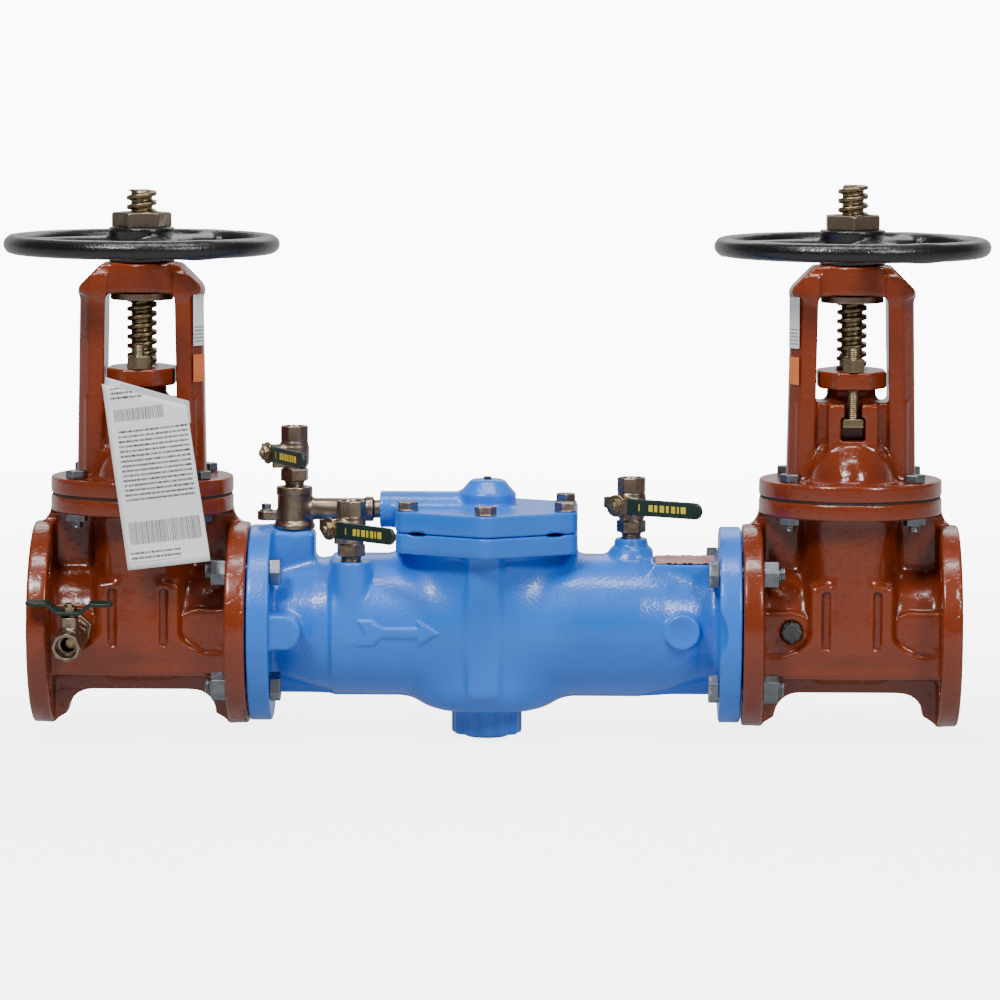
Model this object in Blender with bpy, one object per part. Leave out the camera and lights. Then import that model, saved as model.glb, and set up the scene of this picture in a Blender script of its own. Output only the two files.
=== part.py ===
"""Backflow preventer for a 3 inch water main: a double check body between two gate valves.

The origin is the centre of the inlet flange's face. Water runs along +X and +Z is up.
Each gate valve is an outside screw and yoke valve: the handwheel turns a yoke nut that is
held in the top of the bonnet, and the nut lifts a stem that doesn't turn, with the wedge on it.
The body holds two sprung check valves under one cover, and four ball valves serve as test cocks.
Everything stands as stored: gate valves shut, checks shut, test cocks shut.
"""

import math

import bmesh
import bpy
from mathutils import Matrix, Vector

MM = 0.001
GAP = 0.3 * MM
TURN = 2 * math.pi

# Pipe and flanges, class 125, 3 inch
BORE_R = 38.1 * MM
FLANGE_R = 95.25 * MM
FLANGE_THICK = 19.0 * MM
BOLT_CIRCLE_R = 76.2 * MM
BOLT_HOLE_R = 9.5 * MM
BOLT_R = 7.9 * MM
GATE_LENGTH = 203.2 * MM
BODY_LENGTH = 457.2 * MM
JOINT_SPACE = 3.2 * MM

BODY_START = GATE_LENGTH + JOINT_SPACE
BODY_END = BODY_START + BODY_LENGTH
INLET_X = GATE_LENGTH / 2
OUTLET_X = BODY_END + JOINT_SPACE + GATE_LENGTH / 2

# Gate valve heights above the pipe axis
CHEST_TOP = 121.8 * MM
BONNET_BASE = 124.0 * MM
BONNET_FLANGE_R = 86.0 * MM
BONNET_FLANGE_TOP = 139.5 * MM
WINDOW_LOW = 211.0 * MM
WINDOW_HIGH = 312.0 * MM
YOKE_TOP = 338.0 * MM
HUB_LOW = 339.5 * MM
HUB_HIGH = 373.0 * MM
RIM_Z = 357.0 * MM
WHEEL_R = 127.0 * MM
STEM_R = 14.0 * MM
STEM_TOP = 410.0 * MM
STEM_LOW = 36.3 * MM
SLEEVE_R = 22.0 * MM
BYPASS_BOSS_X = -54.0 * MM

# Check valve body
BODY_FLANGE_R = 92.5 * MM
BODY_FLANGE_THICK = 18.5 * MM
BARREL_R = 66.0 * MM
CHAMBER_R = 57.0 * MM
ACCESS_X = 427.0 * MM
ACCESS_R = 62.0 * MM
HOUSING_R = 72.0 * MM
COVER_REACH = 98.4 * MM
COVER_BOLT_R = 85.0 * MM
DECK_Z = 89.4 * MM
COVER_LOW = 91.2 * MM
COVER_HIGH = 111.0 * MM
PORT_Z = 108.5 * MM
PLATE_Z = 60.5 * MM
SEAT_X = (262.0 * MM, 506.0 * MM)

# Test cocks: where each stands, and how far its stem is turned from facing the front
TEE_X = 245.0 * MM
TEE_LOW = 88.8 * MM
TEE_HIGH = 129.5 * MM
COCK_SEATS = {
    "cock_2": (Vector((TEE_X, 0, TEE_HIGH)), math.radians(-65)),
    "cock_3": (Vector((0.3006, -0.046, 0.0635)), math.radians(-47)),
    "cock_4": (Vector((0.5626, 0, 0.0823)), math.radians(-32)),
}
COCK_PIVOT = 32.0 * MM
COCK_HEIGHT = 57.0 * MM
COCK_BORE_R = 7.0 * MM
FIRST_COCK_YAW = math.radians(-4)
FIRST_COCK_DROOP = math.radians(8)

ALONG = {
    "Z": Matrix.Identity(4),
    "X": Matrix.Rotation(math.pi / 2, 4, "Y"),
    "-Y": Matrix.Rotation(math.pi / 2, 4, "X"),
}


# Solids ---------------------------------------------------------------------------------


def mesh_of(work, along="Z", at=(0, 0, 0)):
    """Ends a bmesh as a mesh with its faces outwards, turned and then moved into place."""
    bmesh.ops.recalc_face_normals(work, faces=work.faces)
    work.transform(Matrix.Translation(at) @ ALONG[along])
    mesh = bpy.data.meshes.new("solid")
    work.to_mesh(mesh)
    work.free()
    return mesh


def spun(profile, steps=32, along="Z", at=(0, 0, 0)):
    """A turned solid. The profile is a closed outline of (radius, height) points."""
    work = bmesh.new()
    points = [work.verts.new((radius, 0, height)) for radius, height in profile]
    edges = []
    for start, end in zip(points, points[1:] + points[:1]):
        if start.co.x > 0 or end.co.x > 0:
            edges.append(work.edges.new((start, end)))
    bmesh.ops.spin(
        work, geom=points + edges, axis=(0, 0, 1), angle=TURN, steps=steps, use_merge=True
    )
    bmesh.ops.remove_doubles(work, verts=work.verts, dist=1e-6)
    return mesh_of(work, along, at)


def rod(radius, low, high, steps=24, along="Z", at=(0, 0, 0)):
    return spun([(0, low), (radius, low), (radius, high), (0, high)], steps, along, at)


def tube(inner, outer, low, high, steps=32, along="Z", at=(0, 0, 0)):
    outline = [(inner, low), (outer, low), (outer, high), (inner, high)]
    return spun(outline, steps, along, at)


def prism(outline, low, high, along="Z", at=(0, 0, 0)):
    """An outline of (x, y) points, pushed from low to high."""
    work = bmesh.new()
    base = work.faces.new([work.verts.new((x, y, low)) for x, y in outline])
    pushed = bmesh.ops.extrude_face_region(work, geom=[base])
    top = [v for v in pushed["geom"] if isinstance(v, bmesh.types.BMVert)]
    bmesh.ops.translate(work, verts=top, vec=(0, 0, high - low))
    return mesh_of(work, along, at)


def block(low, high):
    (x0, y0, z0), (x1, y1, z1) = low, high
    return prism([(x0, y0), (x1, y0), (x1, y1), (x0, y1)], z0, z1)


def ball(radii, at, steps=24, rings=12):
    """A ball, or an ellipsoid where the three radii differ."""
    work = bmesh.new()
    bmesh.ops.create_uvsphere(work, u_segments=steps, v_segments=rings, radius=1)
    bmesh.ops.scale(work, vec=radii, verts=work.verts)
    return mesh_of(work, "Z", at)


def polygon(sides, reach, turn=0.0):
    """The corners of a regular polygon, reach from its centre."""
    angles = [turn + TURN * i / sides for i in range(sides)]
    return [(reach * math.cos(a), reach * math.sin(a)) for a in angles]


def ellipse(rx, ry, steps=20):
    angles = [TURN * i / steps for i in range(steps)]
    return [(rx * math.cos(a), ry * math.sin(a)) for a in angles]


def combine(base, add=(), cut=()):
    """The mesh of base with other meshes joined to it, and then others cut from it."""
    helpers = []
    for mesh in [base, *add, *cut]:
        helper = bpy.data.objects.new("helper", mesh)
        bpy.context.scene.collection.objects.link(helper)
        helpers.append(helper)
    for i, helper in enumerate(helpers[1:]):
        modifier = helpers[0].modifiers.new("join or cut", "BOOLEAN")
        modifier.operation = "UNION" if i < len(add) else "DIFFERENCE"
        modifier.object = helper
    bpy.context.view_layer.update()
    graph = bpy.context.evaluated_depsgraph_get()
    result = bpy.data.meshes.new_from_object(helpers[0].evaluated_get(graph))
    for helper in helpers:
        bpy.data.objects.remove(helper)
    return result


# Materials and objects --------------------------------------------------------------------

PAINTS = {
    "brown_enamel": ((0.40, 0.09, 0.03), 0.25, 0.0),
    "blue_epoxy": ((0.10, 0.32, 0.70), 0.40, 0.0),
    "black_enamel": ((0.01, 0.01, 0.012), 0.20, 0.0),
    "bronze": ((0.35, 0.24, 0.14), 0.45, 1.0),
    "yellow_brass": ((0.60, 0.48, 0.25), 0.30, 1.0),
    "zinc_steel": ((0.55, 0.56, 0.58), 0.35, 1.0),
    "stainless": ((0.60, 0.60, 0.60), 0.30, 1.0),
    "black_iron": ((0.05, 0.05, 0.05), 0.50, 0.6),
    "rubber": ((0.02, 0.02, 0.02), 0.80, 0.0),
    "green_vinyl": ((0.01, 0.06, 0.04), 0.40, 0.0),
    "acetal": ((0.75, 0.74, 0.70), 0.40, 0.0),
    "copper_plate": ((0.60, 0.35, 0.32), 0.40, 0.7),
    "card": ((0.85, 0.86, 0.88), 0.60, 0.0),
}


def make_materials():
    made = {}
    for name, (colour, roughness, metallic) in PAINTS.items():
        made[name] = bpy.data.materials.new(name)
        made[name].use_nodes = True
        shader = made[name].node_tree.nodes["Principled BSDF"]
        shader.inputs["Base Color"].default_value = (*colour, 1)
        shader.inputs["Roughness"].default_value = roughness
        shader.inputs["Metallic"].default_value = metallic
    return made


MATERIALS = {}


def node(name, mesh, paint, parent=None, at=(0, 0, 0), turn=(0, 0, 0)):
    """One piece of the assembly, at a place and an angle under its parent."""
    mesh.name = name
    mesh.materials.clear()
    mesh.materials.append(MATERIALS[paint])
    mesh.shade_smooth()
    mesh.set_sharp_from_angle(angle=math.radians(35))
    piece = bpy.data.objects.new(name, mesh)
    piece.location = at
    piece.rotation_euler = turn
    piece.parent = parent
    bpy.context.scene.collection.objects.link(piece)
    return piece


def stand(name, at, turn=(0, 0, 0)):
    """An empty that a group of pieces is parented to."""
    empty = bpy.data.objects.new(name, None)
    empty.location = at
    empty.rotation_euler = turn
    bpy.context.scene.collection.objects.link(empty)
    return empty


# Gate valves: pieces are drawn about the valve's own centre, where stem and pipe axes cross ----


def flange_holes(low, high):
    """Cutters for the four bolt holes of a flange between two places along X."""
    holes = []
    for quarter in range(4):
        angle = math.pi / 4 + quarter * math.pi / 2
        place = (0, BOLT_CIRCLE_R * math.cos(angle), BOLT_CIRCLE_R * math.sin(angle))
        holes.append(rod(BOLT_HOLE_R, low - GAP, high + GAP, 8, "X", place))
    return holes


def valve_casing():
    half = GATE_LENGTH / 2
    neck_r = 50 * MM
    face = half - FLANGE_THICK
    profile = [
        (0, -half),
        (FLANGE_R, -half),
        (FLANGE_R, -face),
        (neck_r, -face),
        (neck_r, face),
        (FLANGE_R, face),
        (FLANGE_R, half),
        (0, half),
    ]
    chest = prism(ellipse(46 * MM, 68 * MM), -58 * MM, CHEST_TOP - 6 * MM)
    deck = rod(BONNET_FLANGE_R, CHEST_TOP - 13 * MM, CHEST_TOP, 28)
    keel_y = 10 * MM
    keel = block((-face - 6 * MM, -keel_y, -64 * MM), (face + 6 * MM, keel_y, -21 * MM))
    shoulder = [
        (-half + 2 * MM, 13 * MM),
        (half - 2 * MM, 13 * MM),
        (half - 2 * MM, 90 * MM),
        (80 * MM, CHEST_TOP - 8 * MM),
        (-80 * MM, CHEST_TOP - 8 * MM),
        (-half + 2 * MM, 90 * MM),
    ]
    web = prism(shoulder, -8 * MM, 8 * MM, "-Y")
    boss = rod(20 * MM, 17 * MM, 54 * MM, 16, "-Y", (BYPASS_BOSS_X, 0, 0))
    blank = rod(20 * MM, 17 * MM, 52 * MM, 16, "-Y", (-BYPASS_BOSS_X, 0, 0))
    half_pocket = [(24, -40), (24, 40), (21, 52), (10, 58)]
    half_pocket += [(-x, y) for x, y in reversed(half_pocket)]
    pocket = half_pocket + [(-21, -52), (-10, -58), (10, -58), (21, -52)]
    cavity = prism([(x * MM, y * MM) for x, y in pocket], -53 * MM, CHEST_TOP + GAP)
    bore = rod(BORE_R, -half - GAP, half + GAP, 22, "X")
    tapping = rod(13 * MM, 26 * MM, 60 * MM, 12, "-Y", (BYPASS_BOSS_X, 0, 0))
    holes = flange_holes(-half, -face) + flange_holes(face, half)
    return combine(
        spun(profile, 32, "X"),
        add=[chest, deck, keel, web, boss, blank],
        cut=[cavity, bore, tapping, *holes],
    )


def yoke_arm(side):
    """One leg of the yoke, tapering a little towards the top."""
    section = [(36, -22), (49, -22), (60.5, -11), (60.5, 11), (49, 22), (36, 22)]
    outline = [(side * x * MM, y * MM) for x, y in section]
    low, high = BONNET_FLANGE_TOP - 8 * MM, YOKE_TOP - 18 * MM
    mesh = prism(outline, low, high)
    lean = side * 4.5 * MM
    for vertex in mesh.vertices:
        if abs(vertex.co.x) > 45 * MM:
            vertex.co.x -= lean * (vertex.co.z - low) / (high - low)
    return mesh


def bonnet():
    flange = rod(BONNET_FLANGE_R, BONNET_BASE, BONNET_FLANGE_TOP, 28)
    dome = ball((45 * MM, 78 * MM, 52 * MM), (0, 0, 138 * MM), 20, 10)
    under = block((-0.1, -0.1, 0), (0.1, 0.1, BONNET_BASE + 5 * MM))
    dome = combine(dome, cut=[under])
    tie = block((-52 * MM, -18 * MM, 132 * MM), (52 * MM, 18 * MM, WINDOW_LOW))
    housing = block((-26 * MM, -47 * MM, 145 * MM), (26 * MM, 47 * MM, WINDOW_LOW - 3 * MM))
    box_outline = [(0, 200), (27, 200), (27, 213), (23, 223), (0, 223)]
    box = spun([(r * MM, z * MM) for r, z in box_outline], 24)
    corner = 20 * MM
    reach = 56 * MM
    beam_outline = [
        (-reach, WINDOW_HIGH),
        (reach, WINDOW_HIGH),
        (reach, YOKE_TOP - corner),
        (reach - corner, YOKE_TOP),
        (-reach + corner, YOKE_TOP),
        (-reach, YOKE_TOP - corner),
    ]
    beam = prism(beam_outline, -22.5 * MM, 22.5 * MM, "-Y")
    collar = rod(34 * MM, WINDOW_HIGH + 1 * MM, YOKE_TOP - 1 * MM, 24)
    cavity = ball((30 * MM, 58 * MM, 34 * MM), (0, 0, 120 * MM), 14, 8)
    stem_bore = rod(STEM_R + 0.5 * MM, 140 * MM, 230 * MM, 20)
    packing_box = rod(20 * MM, 190 * MM, 230 * MM, 20)
    sleeve_bore = rod(SLEEVE_R + 0.4 * MM, 300 * MM, 345 * MM, 24)
    slots = []
    for end in (-1, 1):
        y0, y1 = sorted((end * 29 * MM, end * 60 * MM))
        slots.append(block((-7.5 * MM, y0, 188 * MM), (7.5 * MM, y1, 230 * MM)))
        y0, y1 = y0 - 0.8 * MM, y1 + 0.8 * MM
        slots.append(block((-11.5 * MM, y0, 179 * MM), (11.5 * MM, y1, 194 * MM)))
    return combine(
        flange,
        add=[dome, tie, housing, box, yoke_arm(-1), yoke_arm(1), beam, collar],
        cut=[cavity, packing_box, stem_bore, sleeve_bore, *slots],
    )


def gland():
    """The follower that presses on the packing, with a slot at each end for its bolts."""
    half = [(32, 0), (32, 20), (15, 46.5), (-15, 46.5), (-32, 20), (-32, 0)]
    outline = [(x * MM, y * MM) for x, y in half]
    outline += [(-x * MM, -y * MM) for x, y in half[1:-1]]
    plate = prism(outline, 224 * MM, 240 * MM)
    nose = rod(19.6 * MM, 212.3 * MM, 226 * MM, 20)
    holes = [rod(7 * MM, 220 * MM, 250 * MM, 10, "Z", (0, y * MM, 0)) for y in (-36, 36)]
    stem_hole = rod(STEM_R + 0.5 * MM, 205 * MM, 250 * MM, 20)
    return combine(plate, add=[nose], cut=[stem_hole, *holes])


def wedge():
    disc = spun(
        [
            (0, -20 * MM),
            (47 * MM, -20 * MM),
            (50 * MM, -15 * MM),
            (50 * MM, 15 * MM),
            (47 * MM, 20 * MM),
            (0, 20 * MM),
        ],
        28,
        "X",
    )
    head = block((-16 * MM, -16 * MM, 30 * MM), (16 * MM, 16 * MM, 55 * MM))
    socket = rod(STEM_R + GAP, STEM_LOW - GAP, 70 * MM, 20)
    return combine(disc, add=[head], cut=[socket])


def stem():
    chamfer = 3 * MM
    outline = [
        (0, STEM_LOW),
        (STEM_R, STEM_LOW),
        (STEM_R, STEM_TOP - chamfer),
        (STEM_R - chamfer, STEM_TOP),
        (0, STEM_TOP),
    ]
    return spun(outline, 20)


def yoke_nut():
    """The long bronze nut that the handwheel turns, with the stem's thread inside it."""
    inner = STEM_R + 0.4 * MM
    outline = [
        (inner, 305 * MM),
        (29.5 * MM, 305 * MM),
        (29.5 * MM, WINDOW_HIGH - GAP),
        (SLEEVE_R, WINDOW_HIGH - GAP),
        (SLEEVE_R, HUB_HIGH - 2 * MM),
        (19 * MM, HUB_HIGH - 2 * MM),
        (19 * MM, 386 * MM),
        (inner, 386 * MM),
    ]
    return spun(outline, 24)


def handwheel():
    rim_tall, rim_wide = 8.2 * MM, 9.5 * MM
    centre = WHEEL_R - rim_wide
    section = [
        (centre + rim_wide * math.cos(a), RIM_Z + rim_tall * math.sin(a))
        for a in (TURN * i / 8 for i in range(8))
    ]
    rim = spun(section, 36)
    hub = rod(30 * MM, HUB_LOW, HUB_HIGH, 24)
    spokes = []
    for i in range(3):
        angle = math.pi + TURN * i / 3
        spoke = block((20 * MM, -11 * MM, RIM_Z - 5 * MM), (centre, 11 * MM, RIM_Z + 5 * MM))
        spoke.transform(Matrix.Rotation(angle, 4, "Z"))
        spokes.append(spoke)
    bore = rod(SLEEVE_R + GAP, HUB_LOW - GAP, HUB_HIGH + GAP, 24)
    return combine(rim, add=[*spokes, hub], cut=[bore])


def wheel_nut():
    outline = polygon(6, 49 * MM / math.sqrt(3), math.pi / 2)
    body = prism(outline, HUB_HIGH + GAP, 387 * MM)
    return combine(body, cut=[rod(19.3 * MM, 370 * MM, 390 * MM, 24)])


def gate_valve(side, x):
    centre = stand(side + "_valve", (x, 0, 0))
    node(side + "_valve_body", valve_casing(), "brown_enamel", centre)
    node(side + "_bonnet_yoke", bonnet(), "brown_enamel", centre)
    seal = tube(63 * MM, 85 * MM, CHEST_TOP + GAP, BONNET_BASE - GAP)
    node(side + "_bonnet_gasket", seal, "rubber", centre)
    packing = tube(STEM_R + 0.5 * MM, 19.7 * MM, 190.3 * MM, 212 * MM, 20)
    node(side + "_packing", packing, "rubber", centre)
    node(side + "_gland", gland(), "brown_enamel", centre)
    node(side + "_wedge", wedge(), "rubber", centre)
    node(side + "_stem", stem(), "yellow_brass", centre)
    node(side + "_yoke_nut", yoke_nut(), "bronze", centre)
    node(side + "_handwheel", handwheel(), "black_enamel", centre)
    node(side + "_wheel_nut", wheel_nut(), "bronze", centre)


# Check valve body -------------------------------------------------------------------------


def body_casting():
    inner_face = BODY_START + BODY_FLANGE_THICK
    outer_face = BODY_END - BODY_FLANGE_THICK
    profile = [
        (0, BODY_START),
        (BODY_FLANGE_R, BODY_START),
        (BODY_FLANGE_R, inner_face),
        (50 * MM, inner_face),
        (55 * MM, 0.245),
        (61 * MM, 0.268),
        (62.5 * MM, 0.281),
        (BARREL_R, 0.2815),
        (BARREL_R, 0.580),
        (53 * MM, 0.640),
        (53 * MM, outer_face),
        (BODY_FLANGE_R, outer_face),
        (BODY_FLANGE_R, BODY_END),
        (0, BODY_END),
    ]
    middle = (ACCESS_X, 0, 0)
    cup = [(0, -80), (40, -79), (62, -72), (HOUSING_R / MM, -58), (HOUSING_R / MM, 75), (0, 75)]
    housing = spun([(r * MM, z * MM) for r, z in cup], 28, "Z", middle)
    deck = prism(polygon(6, COVER_REACH, math.pi / 2), 71.5 * MM, DECK_Z, "Z", middle)
    drain = prism(polygon(8, 33 * MM, math.pi / 8), -104 * MM, -60 * MM, "Z", middle)
    tee_pad = block((0.226, -20 * MM, 22 * MM), (0.2646, 20 * MM, TEE_LOW - GAP))
    seat_3 = COCK_SEATS["cock_3"][0]
    cone_3 = [(0, 0.019), (22 * MM, 0.019), (17.5 * MM, seat_3.z), (0, seat_3.z)]
    cock_3_boss = spun(cone_3, 14, "Z", (seat_3.x, seat_3.y, 0))
    seat_4 = COCK_SEATS["cock_4"][0]
    steps_4 = [(0, 18), (23, 18), (23, 66), (18, 74), (15, 75)]
    cone_4 = [(r * MM, z * MM) for r, z in steps_4] + [(14.5 * MM, seat_4.z), (0, seat_4.z)]
    cock_4_boss = spun(cone_4, 16, "Z", (seat_4.x, seat_4.y, 0))
    side_boss = rod(15.5 * MM, 24 * MM, 86 * MM, 14, "-Y", (0.240, 0, 0))
    side_bridge = block((BODY_START + 2 * MM, -85 * MM, -15.2 * MM), (0.240, -23 * MM, 15.2 * MM))
    blank_boss = rod(16.5 * MM, 26 * MM, 68 * MM, 14, "-Y", (0.6104, 0, 0))
    keels = [
        block((inner_face - 2 * MM, -7 * MM, -65.5 * MM), (0.290, 7 * MM, -23 * MM)),
        block((0.570, -7 * MM, -65.5 * MM), (outer_face + 2 * MM, 7 * MM, -23 * MM)),
    ]
    plate_pad = block((0.583, -36 * MM, 25 * MM), (outer_face + 2 * MM, 36 * MM, PLATE_Z))
    wall = (SEAT_X[1] - 8 * MM, SEAT_X[1])
    waterway = [
        (0, BODY_START - GAP),
        (BORE_R, BODY_START - GAP),
        (BORE_R, SEAT_X[0]),
        (CHAMBER_R, SEAT_X[0]),
        (CHAMBER_R, wall[0]),
        (44 * MM, wall[0]),
        (44 * MM, wall[1]),
        (CHAMBER_R, wall[1]),
        (CHAMBER_R, 0.598),
        (BORE_R, 0.602),
        (BORE_R, BODY_END + GAP),
        (0, BODY_END + GAP),
    ]
    hollows = [
        spun(waterway, 24, "X"),
        rod(ACCESS_R, -50 * MM, DECK_Z + GAP, 24, "Z", middle),
        rod(20.3 * MM, -110 * MM, -40 * MM, 16, "Z", middle),
        rod(9.8 * MM, 20 * MM, TEE_LOW, 10, "Z", (TEE_X, 0, 0)),
        rod(10.3 * MM, 20 * MM, seat_3.z + GAP, 12, "Z", (seat_3.x, seat_3.y, 0)),
        rod(10.3 * MM, 20 * MM, seat_4.z + GAP, 12, "Z", (seat_4.x, seat_4.y, 0)),
    ]
    hollows.append(block((0.5835, -34 * MM, PLATE_Z), (outer_face - 1 * MM, 34 * MM, 80 * MM)))
    hollows += flange_holes(BODY_START, inner_face) + flange_holes(outer_face, BODY_END)
    for i in range(6):
        angle = math.pi / 2 + TURN * i / 6
        place = (ACCESS_X + COVER_BOLT_R * math.cos(angle), COVER_BOLT_R * math.sin(angle), 0)
        hollows.append(rod(5.6 * MM, 74 * MM, DECK_Z + GAP, 6, "Z", place))
    return combine(
        spun(profile, 32, "X"),
        add=[
            housing,
            deck,
            drain,
            tee_pad,
            cock_3_boss,
            cock_4_boss,
            side_bridge,
            side_boss,
            blank_boss,
            *keels,
            plate_pad,
        ],
        cut=hollows,
    )


def cover():
    middle = (ACCESS_X, 0, 0)
    plate = prism(polygon(6, COVER_REACH, math.pi / 2), COVER_LOW, COVER_HIGH, "Z", middle)
    crown = [(0, 100), (27, 100), (27, 120), (15.7, 136), (0, 136)]
    dome = spun([(r * MM, z * MM) for r, z in crown], 24, "Z", middle)
    port = rod(16.8 * MM, 0.3254, ACCESS_X - 5 * MM, 20, "X", (0, 0, PORT_Z))
    port_bore = rod(9 * MM, 0.320, 0.419, 12, "X", (0, 0, PORT_Z))
    well = rod(14 * MM, COVER_LOW - 2 * MM, PORT_Z + 12 * MM, 16, "Z", middle)
    vent_hole = rod(3.4 * MM, 124 * MM, 140 * MM, 10, "Z", middle)
    return combine(plate, add=[dome, port], cut=[port_bore, well, vent_hole])


def check_valve(number, seat_x):
    """A seat ring, the disc that a spring holds against it, and the cage that guides both."""
    name = "check_" + str(number)
    centre = stand(name, (seat_x, 0, 0))
    ring = [(36, 0.3), (56.5, 0.3), (56.5, 9.7), (40, 9.7), (38, 12), (36, 12)]
    seat = spun([(r * MM, x * MM) for r, x in ring], 28, "X")
    node(name + "_seat", seat, "acetal", centre)
    disc = [(0, 12.3), (42, 12.3), (42, 19), (28, 21), (28, 23), (5, 23), (5, 84), (0, 84)]
    poppet = spun([(r * MM, x * MM) for r, x in disc], 20, "X")
    node(name + "_disc", poppet, "acetal", centre)
    rim = tube(47 * MM, 56 * MM, 10 * MM, 16 * MM, 24, "X")
    arms = []
    for i in range(3):
        angle = TURN * i / 3
        leg = block((14 * MM, -4 * MM, 47.5 * MM), (76 * MM, 4 * MM, 55 * MM))
        spoke = block((70 * MM, -3.4 * MM, 20 * MM), (75.4 * MM, 3.4 * MM, 53 * MM))
        for bar in (leg, spoke):
            bar.transform(Matrix.Rotation(angle, 4, "X"))
            arms.append(bar)
    hub = rod(25 * MM, 70 * MM, 76.2 * MM, 16, "X")
    guide = rod(5.4 * MM, 60 * MM, 80 * MM, 10, "X")
    cage = combine(rim, add=[*arms, hub], cut=[guide])
    node(name + "_cage", cage, "stainless", centre)
    node(name + "_spring", coil(23.6 * MM, 69.4 * MM), "stainless", centre)


def coil(low, high):
    """A round wire coil along X from low to high, with flat cut ends."""
    wire, reach, turns, steps, sides = 1.9 * MM, 17 * MM, 4, 9, 5
    rise = (high - low - 2 * wire) / (turns * steps)
    work = bmesh.new()
    rings = []
    for i in range(turns * steps + 1):
        angle = TURN * i / steps
        out = Vector((0, math.cos(angle), math.sin(angle)))
        centre = Vector((low + wire + rise * i, 0, 0)) + reach * out
        ring = []
        for j in range(sides):
            around = TURN * j / sides
            point = centre + wire * (math.cos(around) * out + math.sin(around) * Vector((1, 0, 0)))
            ring.append(work.verts.new(point))
        rings.append(ring)
    for before, after in zip(rings, rings[1:]):
        for j in range(sides):
            k = (j + 1) % sides
            work.faces.new((before[j], before[k], after[k], after[j]))
    work.faces.new(rings[0])
    work.faces.new(rings[-1])
    return mesh_of(work)


def branch_tee():
    """The bronze fitting on the inlet side, which feeds the cover's port and carries a cock."""
    top = TEE_HIGH - GAP
    upright = [(0, TEE_LOW), (20, TEE_LOW), (20, 0.094), (16.2, 0.097), (16.2, top), (0, top)]
    body = spun([(r * MM, z) for r, z in upright], 20, "Z", (TEE_X, 0, 0))
    branch = [(0, 0.25), (10.2, 0.25), (10.2, 0.312), (12, 0.314), (12, 0.319)]
    branch += [(8.7, 0.32), (8.7, 0.338), (0, 0.338)]
    side = spun([(r * MM, x) for r, x in branch], 14, "X", (0, 0, PORT_Z))
    lug = block((0.2105, -8 * MM, 0.0975), (TEE_X - 9 * MM, 8 * MM, 0.1055))
    hollow = [(0, 85), (7, 85), (7, 120), (10.3, 120), (10.3, 131), (0, 131)]
    bores = [
        spun([(r * MM, z * MM) for r, z in hollow], 12, "Z", (TEE_X, 0, 0)),
        rod(5.5 * MM, TEE_X + 3 * MM, 0.340, 10, "X", (0, 0, PORT_Z)),
        rod(4.5 * MM, 0.090, 0.110, 10, "Z", (0.2175, 0, 0)),
    ]
    return combine(body, add=[side, lug], cut=bores)


# Test cocks: drawn upright on the origin, with the stem towards -Y and the lever towards +X ----


def cock_body(nipple):
    """A small ball valve body on a threaded nipple of the given length above its seat."""
    side = [(9.5, -8), (9.5, nipple + 1), (11.5, 19), (14, 22), (14, 40), (11.5, 43), (11.5, 56)]
    outline = [(0, -8 * MM)] + [(r * MM, z * MM) for r, z in side] + [(0, 56 * MM)]
    shell = spun(outline, 14)
    neck = rod(7.5 * MM, 4 * MM, 25 * MM, 10, "-Y", (0, 0, COCK_PIVOT))
    foot = prism(polygon(6, 15 * MM), nipple * MM, 17 * MM)
    mouth = prism(polygon(8, 14 * MM, math.pi / 8), 41 * MM, COCK_HEIGHT)
    bore = [(7, -10), (7, 23.5), (9.9, 27.2), (11, 32), (9.9, 36.8), (7, 40.5)]
    bore += [(7, 45), (9.2, 45), (9.2, 60)]
    cavity = [(0, -10 * MM)] + [(r * MM, z * MM) for r, z in bore] + [(0, 60 * MM)]
    spindle = rod(4.0 * MM, 3 * MM, 30 * MM, 8, "-Y", (0, 0, COCK_PIVOT))
    return combine(shell, add=[neck, foot, mouth], cut=[spun(cavity, 10), spindle])


def cock_ball():
    """The ball with its port along the lever, and the stem that turns it."""
    sphere = ball((9.9 * MM,) * 3, (0, 0, COCK_PIVOT), 10, 6)
    spindle = rod(3.5 * MM, 7 * MM, 33 * MM, 8, "-Y", (0, 0, COCK_PIVOT))
    port = rod(5.5 * MM, -12 * MM, 12 * MM, 8, "X", (0, 0, COCK_PIVOT))
    sphere = combine(sphere, cut=[port])
    return combine(sphere, add=[spindle])


def cock_lever():
    """A flat lever, 2.5 mm plate at its pivot and a thicker vinyl grip beyond it."""
    plate = [(-8, 8), (-10, -2), (2, -12), (16, -9.5), (40, -8), (40, 8)]
    steel = prism([(x * MM, z * MM + COCK_PIVOT) for x, z in plate], 26 * MM, 28.5 * MM, "-Y")
    grip_r = 8.6 * MM
    arc = [TURN * i / 16 - math.pi / 2 for i in range(9)]
    grip = [(0.0915 + grip_r * math.cos(a), COCK_PIVOT + grip_r * math.sin(a)) for a in arc]
    grip += [(0.022, COCK_PIVOT + grip_r), (0.022, COCK_PIVOT - grip_r)]
    handle = prism(grip, 25 * MM + GAP, 29.5 * MM, "-Y")
    hole = rod(3.9 * MM, 20 * MM, 35 * MM, 12, "-Y", (0, 0, COCK_PIVOT))
    return combine(steel, add=[handle], cut=[hole])


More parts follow.
